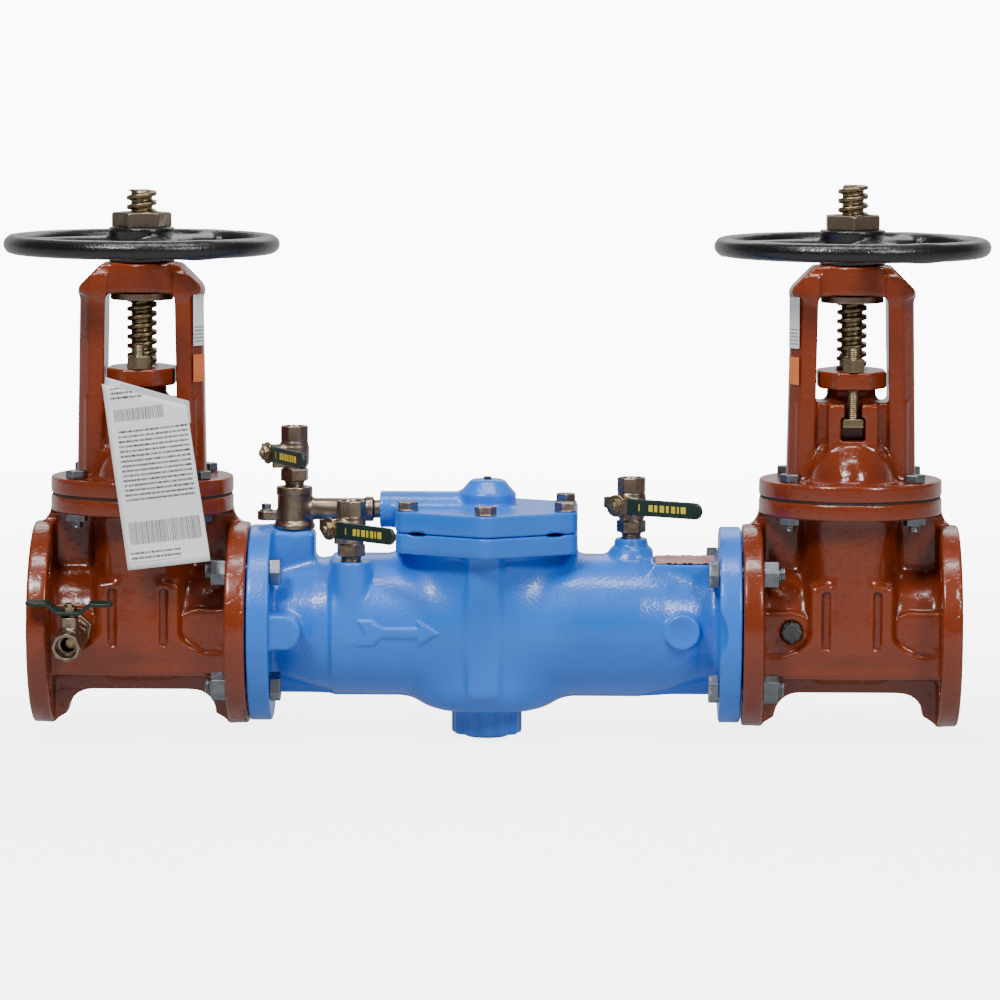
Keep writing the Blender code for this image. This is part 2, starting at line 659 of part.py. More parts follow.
def wing_lever():
    """A two-winged lever, bent up on each side of its pivot."""
    under = [(0, 26), (11, 26), (22, 34.5), (40, 34.5)]
    over = [(x, z + 3.2) for x, z in reversed(under[1:])]
    half = under[1:] + over
    outline = [(x, z) for x, z in half] + [(-x, z) for x, z in reversed(half)]
    plate = prism([(x * MM, z * MM) for x, z in outline], -7 * MM, 7 * MM, "-Y")
    hole = rod(3.9 * MM, 20 * MM, 35 * MM, 12)
    wings = combine(plate, cut=[hole])
    # Drawn flat, then stood on the stem, which comes out towards -Y.
    wings.transform(Matrix.Translation((0, 0, COCK_PIVOT)) @ Matrix.Rotation(math.pi / 2, 4, "X"))
    return wings


def test_cock(name, at, turn, nipple, lever):
    seat = stand(name, at, turn)
    node(name + "_body", cock_body(nipple), "bronze", seat)
    node(name + "_ball_stem", cock_ball(), "yellow_brass", seat)
    kind = "_wing_lever" if name == "cock_1" else "_lever"
    node(name + kind, lever, "green_vinyl", seat)


# Fasteners, gaskets and small parts -----------------------------------------------------------


def flange_bolt():
    """A hex bolt along X through both flanges, with its nut on the -X side of the joint."""
    nut_face = -(FLANGE_THICK + JOINT_SPACE / 2 + GAP)
    head_face = BODY_FLANGE_THICK + JOINT_SPACE / 2 + GAP
    hexagon = polygon(6, 24 * MM / math.sqrt(3))
    shank = rod(BOLT_R, nut_face - 17 * MM, head_face + 5 * MM, 8, "X")
    head = prism(hexagon, head_face, head_face + 10 * MM, "X")
    nut = prism(hexagon, nut_face - 13.5 * MM, nut_face, "X")
    return combine(shank, add=[head, nut])


def flange_bolts():
    for side, x, facing in (
        ("inlet", GATE_LENGTH + JOINT_SPACE / 2, 0),
        ("outlet", BODY_END + JOINT_SPACE / 2, math.pi),
    ):
        for quarter in range(4):
            angle = math.pi / 4 + quarter * math.pi / 2
            place = (x, BOLT_CIRCLE_R * math.cos(angle), BOLT_CIRCLE_R * math.sin(angle))
            name = side + "_flange_bolt_" + str(quarter + 1)
            node(name, flange_bolt(), "zinc_steel", None, place, (0, 0, facing))


def flange_gasket(low):
    return tube(BORE_R + 2 * MM, 66 * MM, low + GAP, low + JOINT_SPACE - GAP, 28, "X")


def body_plug():
    thread = rod(12.4 * MM, 38 * MM, 56 * MM, 16, "-Y")
    head = prism(polygon(4, 15 * MM), 55 * MM, 70 * MM, "-Y")
    return combine(thread, add=[head])


def paper_tag():
    """The card tag, hung in front of the inlet bonnet and turned a little in its own plane."""
    wide, tall, thick = 74 * MM, 172 * MM, 0.8 * MM
    corner = 6 * MM
    outline = [
        (-wide / 2 + corner, 0),
        (-wide / 2, -corner),
        (-wide / 2, -tall + corner),
        (-wide / 2 + corner, -tall),
        (wide / 2 - corner, -tall),
        (wide / 2, -tall + corner),
        (wide / 2, -corner),
        (wide / 2 - corner, 0),
    ]
    return prism(outline, -thick / 2, thick / 2, "-Y")


def main():
    for old in list(bpy.data.objects):
        bpy.data.objects.remove(old)
    MATERIALS.update(make_materials())

    gate_valve("inlet", INLET_X)
    gate_valve("outlet", OUTLET_X)
    plug_at = (OUTLET_X + BYPASS_BOSS_X, 0, 0)
    node("outlet_body_plug", body_plug(), "black_iron", None, plug_at)

    node("check_body", body_casting(), "blue_epoxy")
    node("check_cover", cover(), "blue_epoxy")
    seal = tube(ACCESS_R + 2 * MM, 74 * MM, DECK_Z + GAP, COVER_LOW - GAP)
    node("cover_gasket", seal, "rubber", None, (ACCESS_X, 0, 0))
    drain = spun([(0, -107 * MM), (20 * MM, -107 * MM), (20 * MM, -84 * MM), (0, -84 * MM)], 16)
    node("drain_plug", drain, "blue_epoxy", None, (ACCESS_X, 0, 0))
    vent = rod(3.1 * MM, 126 * MM, 137.5 * MM, 10)
    node("cover_vent_plug", vent, "black_iron", None, (ACCESS_X, 0, 0))
    for number, seat_x in enumerate(SEAT_X, 1):
        check_valve(number, seat_x)
    plate = block((0.5845, -33 * MM, PLATE_Z + GAP), (0.6415, 33 * MM, PLATE_Z + 1.3 * MM))
    node("name_plate", plate, "copper_plate")

    node("branch_tee", branch_tee(), "bronze")
    for name, (at, turn) in COCK_SEATS.items():
        test_cock(name, at, (0, 0, turn), 5, cock_lever())
    boss_at = (INLET_X + BYPASS_BOSS_X, -54 * MM, 0)
    aim = Matrix.Rotation(FIRST_COCK_YAW, 4, "Z") @ Matrix.Rotation(FIRST_COCK_DROOP, 4, "X")
    upright = aim @ Matrix.Rotation(math.pi / 2, 4, "X") @ Matrix.Rotation(math.pi, 4, "Z")
    nipple_reach = 15 * MM
    first_at = Vector(boss_at) + aim @ Vector((0, -nipple_reach, 0))
    test_cock("cock_1", first_at, upright.to_euler(), 5, wing_lever())
    nipple = tube(COCK_BORE_R, 9.4 * MM, -24 * MM, nipple_reach - 8.3 * MM, 14, "-Y")
    node("cock_1_nipple", nipple, "yellow_brass", None, boss_at, aim.to_euler())

    flange_bolts()
    node("inlet_flange_gasket", flange_gasket(GATE_LENGTH), "rubber")
    node("outlet_flange_gasket", flange_gasket(BODY_END), "rubber")
    tag_at = (0.094, -93 * MM, 226 * MM)
    node("paper_tag", paper_tag(), "card", None, tag_at, (0, math.radians(-7), 0))


main()
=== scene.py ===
"""Backflow preventer: the visual model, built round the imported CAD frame.

Every casting and every machined piece is drawn as a distance field in millimetres and meshed,
so that webs, bosses and necks run into each other with cast fillets. Each piece then rides on
the CAD body it belongs to and stands for that body's plain CAD node.
"""

import math

import bpy
import numpy as np
import openvdb
from bpy.props import FloatProperty, PointerProperty
from bpy.types import Operator, Panel, PropertyGroup
from mathutils import Matrix, Vector


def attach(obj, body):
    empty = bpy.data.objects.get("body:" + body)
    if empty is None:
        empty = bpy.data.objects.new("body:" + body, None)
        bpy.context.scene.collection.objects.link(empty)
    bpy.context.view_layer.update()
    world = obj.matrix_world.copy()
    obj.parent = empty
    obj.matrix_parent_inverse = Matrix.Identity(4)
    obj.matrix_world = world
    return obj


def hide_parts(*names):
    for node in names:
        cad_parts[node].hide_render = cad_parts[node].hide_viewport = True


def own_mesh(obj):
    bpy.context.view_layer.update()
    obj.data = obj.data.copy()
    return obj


bl_info = {
    "name": "Backflow preventer",
    "version": (1, 0, 0),
    "blender": (4, 5, 0),
    "location": "View3D > Sidebar > Backflow",
    "description": "Builds a flanged double check backflow preventer with two gate valves",
    "category": "Add Mesh",
}

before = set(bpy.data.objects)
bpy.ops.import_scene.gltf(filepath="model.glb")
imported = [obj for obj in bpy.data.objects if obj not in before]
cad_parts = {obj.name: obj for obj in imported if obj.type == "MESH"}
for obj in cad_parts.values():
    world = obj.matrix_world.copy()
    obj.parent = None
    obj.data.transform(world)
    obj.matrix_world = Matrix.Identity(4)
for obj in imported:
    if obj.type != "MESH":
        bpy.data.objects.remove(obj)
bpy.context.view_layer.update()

TURN = 2 * math.pi
INLET_X, OUTLET_X = 101.6, 768.4
SIDES = (("inlet", INLET_X), ("outlet", OUTLET_X))
ACCESS_X = 427.0
BORE_RADIUS = 38.1
BOLT_RADIUS = 76.2
BOLT_OFFSET = BOLT_RADIUS / math.sqrt(2)
BOLT_HOLE = 9.5
FLANGE_RADIUS, BONNET_RADIUS = 95.25, 86
BODY_ENDS = (206.4, 663.6)
DECK_FLATS = 170.4
CHECK_SEATS = ((1, 262), (2, 506))
BLANK_BOSS_X = 610.4
GRIP_PIVOT_HOLE = 3.8
# outer radius, depth and pitch of a thread, and the share of its pitch that is flat
TAP_THREAD = (9.6, 0.9, 1.8)
STEM_THREAD = (14.2, 4.2, 8.7, 0.43)
BONNET_BOLTS = [(x, y) for x in (-58, 58) for y in (-42, 42)]
BOSS_X = 56.0
PORT_Z = 108.0
TEE_X = 245.0
PIVOT = 32.0
COCKS = {
    "cock_2": ((TEE_X, 0.0, 129.5), -65.0),
    "cock_3": ((300.6, -46.0, 63.5), -47.0),
    "cock_4": ((562.6, 0.0, 82.3), -32.0),
}
FIRST_COCK_AT = (INLET_X - BOSS_X, -54.0, 0.0)
FIRST_COCK_YAW, FIRST_COCK_DROOP = -4.0, 8.0


# Distance fields, in millimetres: below zero is inside ---------------------------------------


def join(a, b, fillet=0.0):
    """Either solid, run together with a fillet."""
    if fillet <= 0:
        return np.minimum(a, b)
    h = np.clip(0.5 + 0.5 * (b - a) / fillet, 0, 1)
    return b + (a - b) * h - fillet * h * (1 - h)


def meet(a, b, edge=0.0):
    """Where both solids are, with the edge between them rounded."""
    return -join(-a, -b, edge)


def cut(a, b, edge=0.0):
    """The first solid with the second taken away."""
    return meet(a, -b, edge)


def slab(v, low, high):
    return np.maximum(low - v, v - high)


def disc(u, v, w, radius, low, high, edge=0.0):
    """A round bar along w."""
    return meet(np.hypot(u, v) - radius, slab(w, low, high), edge)


def brick(x, y, z, low, high, edge=0.0):
    sides = meet(slab(x, low[0], high[0]), slab(y, low[1], high[1]), edge)
    return meet(sides, slab(z, low[2], high[2]), edge)


def oval(u, v, a, b):
    """An elliptical bar."""
    near = np.sqrt((u / a) ** 2 + (v / b) ** 2)
    steep = np.sqrt((u / a**2) ** 2 + (v / b**2) ** 2) + 1e-6
    return near * (near - 1) / steep


def egg(x, y, z, radii):
    """An ellipsoid."""
    a, b, c = radii
    near = np.sqrt((x / a) ** 2 + (y / b) ** 2 + (z / c) ** 2)
    steep = np.sqrt((x / a**2) ** 2 + (y / b**2) ** 2 + (z / c**2) ** 2) + 1e-6
    return near * (near - 1) / steep


def facets(u, v, points, edge=0.0):
    """A convex outline, its points anticlockwise."""
    field = None
    for (u0, v0), (u1, v1) in zip(points, points[1:] + points[:1]):
        length = math.hypot(u1 - u0, v1 - v0)
        side = ((u - u0) * (v1 - v0) - (v - v0) * (u1 - u0)) / length
        field = side if field is None else meet(field, side, edge)
    return field


def polygon(sides, flats, turn=0.0):
    """The corners of a regular polygon, given the width across its flats."""
    reach = flats / 2 / math.cos(math.pi / sides)
    angles = [turn + TURN * i / sides for i in range(sides)]
    return [(reach * math.cos(a), reach * math.sin(a)) for a in angles]


def turned(radial, along, profile):
    """A turned solid whose radius follows (place, radius) points."""
    places, radii = zip(*profile)
    return radial - np.interp(along, places, radii).astype(np.float32)


def threaded(u, v, w, major, depth, pitch, flat=0.3):
    """A round bar with a right-hand thread cut in it."""
    phase = w / pitch - np.arctan2(v, u) / TURN
    valley = np.abs(phase - np.floor(phase) - 0.5) * 2
    cutting = np.clip((valley - flat) / (1 - 2 * flat), 0, 1)
    return (np.hypot(u, v) - major + depth * cutting) * 0.75


def hexagon_head(u, v, w, flats, low, high, turn=0.0, outer=1):
    """A hexagon whose corners are chamfered on its outer face."""
    body = meet(facets(u, v, polygon(6, flats, turn), 0.4), slab(w, low, high), 0.5)
    face = high if outer > 0 else low
    cone = (np.hypot(u, v) - flats * 0.53 + (w - face) * outer * 1.7) * 0.5
    return meet(body, cone, 0.3)


# Meshes ---------------------------------------------------------------------------------------


def solid(name, low, high, step, shape, adapt=0.0):
    """Meshes a distance field between two corners, with normals taken from the field."""
    axes = [np.arange(a, b + step, step, dtype=np.float32) for a, b in zip(low, high)]
    x, y, z = np.meshgrid(*axes, indexing="ij", sparse=True)
    field = shape(x, y, z)
    full = np.broadcast_to(field, [len(a) for a in axes]).astype(np.float32)
    full = np.clip(full, -3 * step, 3 * step)
    grid = openvdb.FloatGrid(3 * step)
    grid.copyFromArray(full)
    points, triangles, quads = grid.convertToPolygons(isovalue=0.0, adaptivity=adapt)
    slopes = np.gradient(full)
    lower = np.clip(np.floor(points).astype(int), 0, np.array(full.shape) - 2)
    part = points - lower
    normals = np.zeros((len(points), 3))
    for corner in range(8):
        pick = np.array([corner >> 2 & 1, corner >> 1 & 1, corner & 1])
        weight = np.prod(np.where(pick == 1, part, 1 - part), axis=1)
        at = lower + pick
        for axis in range(3):
            normals[:, axis] += weight * slopes[axis][at[:, 0], at[:, 1], at[:, 2]]
    normals /= np.linalg.norm(normals, axis=1)[:, None] + 1e-9
    places = (np.array([a[0] for a in axes]) + points * step) * 0.001
    return mesh_from(name, places, triangles, quads, normals)


def mesh_from(name, places, triangles, quads, normals):
    mesh = bpy.data.meshes.new(name)
    mesh.vertices.add(len(places))
    mesh.vertices.foreach_set("co", places.astype(np.float32).ravel())
    corners = np.concatenate([triangles.ravel(), quads.ravel()])
    sizes = np.concatenate([np.full(len(triangles), 3), np.full(len(quads), 4)])
    mesh.loops.add(len(corners))
    mesh.loops.foreach_set("vertex_index", corners.astype(np.int32))
    mesh.polygons.add(len(sizes))
    starts = np.concatenate([[0], np.cumsum(sizes)[:-1]])
    mesh.polygons.foreach_set("loop_start", starts.astype(np.int32))
    mesh.polygons.foreach_set("use_smooth", np.ones(len(sizes), dtype=bool))
    mesh.update(calc_edges=True)
    mesh.validate()
    mesh.normals_split_custom_set_from_vertices(normals)
    return mesh


def place(name, mesh, material, body, replaced=(), at=(0, 0, 0), turn=None, slot=None):
    """Puts a piece in the scene, in millimetres, and hands it to the CAD body that carries it."""
    piece = bpy.data.objects.new(name, mesh)
    if not mesh.materials:
        mesh.materials.append(bpy.data.materials[material])
    matrix = Matrix.Translation(Vector(at) * 0.001)
    piece.matrix_world = matrix @ turn if turn is not None else matrix
    bpy.context.scene.collection.objects.link(piece)
    bpy.context.view_layer.update()
    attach(piece, body)
    if replaced:
        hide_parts(*replaced)
    return piece


# Node groups: effects that several materials share ----------------------------------------------


def add(tree, kind, inputs=None, **settings):
    """A shader node with its settings, values and links."""
    made = tree.nodes.new(kind)
    for key, value in settings.items():
        setattr(made, key, value)
    for key, value in (inputs or {}).items():
        if isinstance(value, bpy.types.NodeSocket):
            tree.links.new(value, made.inputs[key])
        else:
            made.inputs[key].default_value = value
    return made


def ramp(tree, fac, stops, smooth=True):
    """A colour ramp with (place, value or colour) stops."""
    made = tree.nodes.new("ShaderNodeValToRGB")
    tree.links.new(fac, made.inputs[0])
    band = made.color_ramp
    band.interpolation = "EASE" if smooth else "LINEAR"
    while len(band.elements) < len(stops):
        band.elements.new(0.5)
    for element, (where, value) in zip(band.elements, stops):
        element.position = where
        element.color = (value, value, value, 1) if isinstance(value, float) else (*value, 1)
    return made.outputs[0]


def mix(tree, fac, first, second, blend="MIX"):
    made = tree.nodes.new("ShaderNodeMix")
    made.data_type = "RGBA"
    made.blend_type = blend
    for index, value in ((0, fac), (6, first), (7, second)):
        if isinstance(value, bpy.types.NodeSocket):
            tree.links.new(value, made.inputs[index])
        elif index == 0:
            made.inputs[0].default_value = value
        else:
            made.inputs[index].default_value = (*value, 1)
    return made.outputs[2]


def object_place(tree):
    return tree.nodes.new("ShaderNodeTexCoord").outputs["Object"]


def calc(tree, kind, *values):
    """The result of a Math node."""
    return add(tree, "ShaderNodeMath", dict(enumerate(values)), operation=kind).outputs[0]


def noise(tree, where, scale, detail):
    values = {"Vector": where, "Scale": scale, "Detail": detail}
    return add(tree, "ShaderNodeTexNoise", values).outputs[0]


def spread(tree, value, from_low, from_high, low, high):
    """A value carried from one range to another."""
    values = {"Value": value, "From Min": from_low, "From Max": from_high}
    values.update({"To Min": low, "To Max": high})
    return add(tree, "ShaderNodeMapRange", values).outputs[0]


def bump(tree, height, strength, distance, over=None):
    """The normal of a Bump node, on top of another normal if one is given."""
    values = {"Height": height, "Strength": strength, "Distance": distance}
    if over is not None:
        values["Normal"] = over
    return add(tree, "ShaderNodeBump", values).outputs[0]


def group(name, inputs, outputs):
    """An empty node group with its sockets, and its input and output nodes."""
    tree = bpy.data.node_groups.new(name, "ShaderNodeTree")
    for socket, kind, value in inputs:
        made = tree.interface.new_socket(socket, in_out="INPUT", socket_type=kind)
        if value is not None:
            made.default_value = value
    for socket, kind in outputs:
        tree.interface.new_socket(socket, in_out="OUTPUT", socket_type=kind)
    return tree, tree.nodes.new("NodeGroupInput"), tree.nodes.new("NodeGroupOutput")


FLOAT, COLOUR, VECTOR = "NodeSocketFloat", "NodeSocketColor", "NodeSocketVector"


def make_cast_skin():
    """The skin of a painted casting: sand pits under the paint and orange peel in it."""
    sockets = [("Pits", FLOAT, 0.3), ("Peel", FLOAT, 0.3), ("Peel size", FLOAT, 350.0)]
    tree, given, made = group("cast_skin", sockets, [("Normal", VECTOR)])
    where = object_place(tree)
    waves = noise(tree, where, 38.0, 2.0)
    pits = ramp(tree, noise(tree, where, 160.0, 4.0), [(0.30, 0.0), (0.46, 1.0)])
    peel = noise(tree, where, given.outputs["Peel size"], 1.5)
    slow = bump(tree, waves, 0.35, 0.0012)
    rough = bump(tree, pits, given.outputs["Pits"], 0.0004, slow)
    fine = bump(tree, peel, given.outputs["Peel"], 0.0004, rough)
    tree.links.new(fine, made.inputs[0])


def make_worn_paint_and_shade():
    """Colour of paint on a casting: thin and light on edges, painted shade in the creases, dusty on
    top.
    """
    sockets = [
        ("Paint", COLOUR, None),
        ("Crease shade", COLOUR, None),
        ("Edge", COLOUR, None),
        ("Edge wear", FLOAT, 0.3),
        ("Dust", FLOAT, 0.1),
    ]
    outs = [("Color", COLOUR), ("Roughness", FLOAT)]
    tree, given, made = group("worn_paint_and_shade", sockets, outs)
    where = object_place(tree)
    shape = tree.nodes.new("ShaderNodeNewGeometry")
    cloud = noise(tree, where, 9.0, 5.0)
    speck = noise(tree, where, 220.0, 6.0)
    # Painted shade: hollows, found by pointiness, are darkened towards the crease colour.
    crease = ramp(tree, shape.outputs["Pointiness"], [(0.44, 1.0), (0.497, 0.0)])
    ridge = ramp(tree, shape.outputs["Pointiness"], [(0.505, 0.0), (0.57, 1.0)])
    base = mix(tree, crease, given.outputs["Paint"], given.outputs["Crease shade"])
    cloudy = ramp(tree, cloud, [(0.3, (0.90, 0.90, 0.90)), (0.7, (1.06, 1.06, 1.06))])
    base = mix(tree, 1.0, base, cloudy, "MULTIPLY")
    broken = ramp(tree, speck, [(0.42, 0.25), (0.60, 1.0)])
    worn = calc(tree, "MULTIPLY", calc(tree, "MULTIPLY", ridge, broken), given.outputs["Edge wear"])
    base = mix(tree, worn, base, given.outputs["Edge"])
    up = add(tree, "ShaderNodeSeparateXYZ", {0: shape.outputs["Normal"]}).outputs[2]
    settled = ramp(tree, up, [(0.55, 0.0), (1.0, 1.0)])
    dusty = calc(tree, "MULTIPLY", calc(tree, "MULTIPLY", settled, speck), given.outputs["Dust"])
    base = mix(tree, dusty, base, (0.62, 0.60, 0.57))
    rough = calc(tree, "ADD", spread(tree, cloud, 0.3, 0.7, 0.0, 0.12), dusty)
    tree.links.new(base, made.inputs[0])
    tree.links.new(rough, made.inputs[1])


def make_tarnish():
    """Bare metal: clouded tarnish over a base colour, rubbed bright on its edges."""
    sockets = [
        ("Metal", COLOUR, None),
        ("Tarnish", COLOUR, None),
        ("Bright", COLOUR, None),
        ("Amount", FLOAT, 0.5),
        ("Grain", FLOAT, 0.2),
    ]
    outs = [("Color", COLOUR), ("Roughness", FLOAT), ("Normal", VECTOR)]
    tree, given, made = group("tarnish", sockets, outs)
    where = object_place(tree)
    shape = tree.nodes.new("ShaderNodeNewGeometry")
    cloud = noise(tree, where, 70.0, 6.0)
    grit = noise(tree, where, 600.0, 4.0)
    patch = ramp(tree, cloud, [(0.35, 0.0), (0.65, 1.0)])
    amount = calc(tree, "MULTIPLY", patch, given.outputs["Amount"])
    crease = ramp(tree, shape.outputs["Pointiness"], [(0.42, 1.0), (0.50, 0.0)])
    amount = calc(tree, "MAXIMUM", amount, crease)
    base = mix(tree, amount, given.outputs["Metal"], given.outputs["Tarnish"])
    ridge = ramp(tree, shape.outputs["Pointiness"], [(0.52, 0.0), (0.60, 1.0)])
    base = mix(tree, ridge, base, given.outputs["Bright"])
    tree.links.new(base, made.inputs[0])
    tree.links.new(spread(tree, cloud, 0.3, 0.7, 0.22, 0.5), made.inputs[1])
    tree.links.new(bump(tree, grit, given.outputs["Grain"], 0.0003), made.inputs[2])


# Materials ---------------------------------------------------------------------------------------


def blank_material(name, **values):
    """A material with one Principled shader, and its tree."""
    material = bpy.data.materials.new(name)
    material.use_nodes = True
    tree = material.node_tree
    shader = tree.nodes["Principled BSDF"]
    for key, value in values.items():
        shader.inputs[key.replace("_", " ")].default_value = value
    return tree, shader


def use(tree, name, inputs):
    """A node of one of the groups above."""
    made = tree.nodes.new("ShaderNodeGroup")
    made.node_tree = bpy.data.node_groups[name]
    for key, value in inputs.items():
        colour = isinstance(value, tuple)
        made.inputs[key].default_value = (*value, 1) if colour else value
    return made


def painted(name, paint, crease, edge, wear, dust, pits, peel, size, gloss, coat):
    """Gloss paint on a casting, with painted shade darkening its creases."""
    tree, shader = blank_material(name, Coat_Weight=coat, Coat_Roughness=0.06, IOR=1.5)
    colour = use(
        tree,
        "worn_paint_and_shade",
        {"Paint": paint, "Crease shade": crease, "Edge": edge, "Edge wear": wear, "Dust": dust},
    )
    skin = use(tree, "cast_skin", {"Pits": pits, "Peel": peel, "Peel size": size})
    tree.links.new(colour.outputs[0], shader.inputs["Base Color"])
    tree.links.new(calc(tree, "ADD", colour.outputs[1], gloss), shader.inputs["Roughness"])
    tree.links.new(skin.outputs[0], shader.inputs["Normal"])
    tree.links.new(skin.outputs[0], shader.inputs["Coat Normal"])


def bare(name, metal, tarnish, bright, amount, grain, metallic=1.0):
    """Bare metal with tarnish."""
    tree, shader = blank_material(name, Metallic=metallic)
    look = use(
        tree,
        "tarnish",
        {"Metal": metal, "Tarnish": tarnish, "Bright": bright, "Amount": amount, "Grain": grain},
    )
    for output, key in zip(look.outputs, ("Base Color", "Roughness", "Normal")):
        tree.links.new(output, shader.inputs[key])


def plain(name, colour, other, scale, rough, relief):
    """A moulded or coated surface: two close colours, a little bump."""
    tree, shader = blank_material(name)
    where = object_place(tree)
    cloud = noise(tree, where, scale, 5.0)
    base = mix(tree, ramp(tree, cloud, [(0.35, 0.0), (0.65, 1.0)]), colour, other)
    uneven = spread(tree, cloud, 0.0, 1.0, rough * 0.8, rough * 1.2)
    grit = noise(tree, where, scale * 9, 3.0)
    tree.links.new(base, shader.inputs["Base Color"])
    tree.links.new(uneven, shader.inputs["Roughness"])
    tree.links.new(bump(tree, grit, relief, 0.0003), shader.inputs["Normal"])
    return tree, shader


def within(tree, u, v, box):
    """1 inside a (low u, high u, low v, high v) box, and 0 outside it."""
    inside = calc(tree, "GREATER_THAN", u, box[0])
    others = ((u, "LESS_THAN", box[1]), (v, "GREATER_THAN", box[2]), (v, "LESS_THAN", box[3]))
    for value, test, limit in others:
        inside = calc(tree, "MULTIPLY", inside, calc(tree, test, value, limit))
    return inside


def printed(name, paper, ink, rows, bars, cell):
    """Card with generic print on its UV map: ragged grey rows, and a block of upright bars.

    rows and bars are (low u, high u, low v, high v) boxes; cell is a row's height in v."""
    tree, shader = blank_material(name, Roughness=0.45)
    flat = add(tree, "ShaderNodeUVMap")
    u, v = add(tree, "ShaderNodeSeparateXYZ", {0: flat.outputs[0]}).outputs[:2]
    line = calc(tree, "DIVIDE", v, cell)
    on_line = calc(tree, "LESS_THAN", calc(tree, "FRACT", line), 0.45)
    along, number = calc(tree, "MULTIPLY", u, 95.0), calc(tree, "FLOOR", line)
    spot = add(tree, "ShaderNodeCombineXYZ", {0: along, 1: number}).outputs[0]
    broken = calc(tree, "GREATER_THAN", noise(tree, spot, 1.0, 2.0), 0.46)
    words = calc(tree, "MULTIPLY", on_line, broken)
    stripe = add(
        tree,
        "ShaderNodeTexNoise",
        {"W": calc(tree, "MULTIPLY", u, 130.0), "Scale": 1.0},
        noise_dimensions="1D",
    )
    upright = calc(tree, "GREATER_THAN", stripe.outputs[0], 0.5)
    marked = [(words, box) for box in rows] + [(upright, box) for box in bars]
    blocks = [calc(tree, "MULTIPLY", mark, within(tree, u, v, box)) for mark, box in marked]
    total = blocks[0]
    for block in blocks[1:]:
        total = calc(tree, "MAXIMUM", total, block)
    cloud = noise(tree, object_place(tree), 60.0, 5.0)
    base = mix(tree, cloud, paper, tuple(c * 0.93 for c in paper))
    tree.links.new(mix(tree, total, base, ink), shader.inputs["Base Color"])
    tree.links.new(bump(tree, cloud, 0.1, 0.0005), shader.inputs["Normal"])


def seen(tree, colour, share):
    """A colour as the camera sees it; reflections and bounced light get a share of it."""
    ray = tree.nodes.new("ShaderNodeLightPath")
    dim = mix(tree, 1.0, colour, (share, share, share), "MULTIPLY")
    return mix(tree, ray.outputs["Is Camera Ray"], dim, colour)


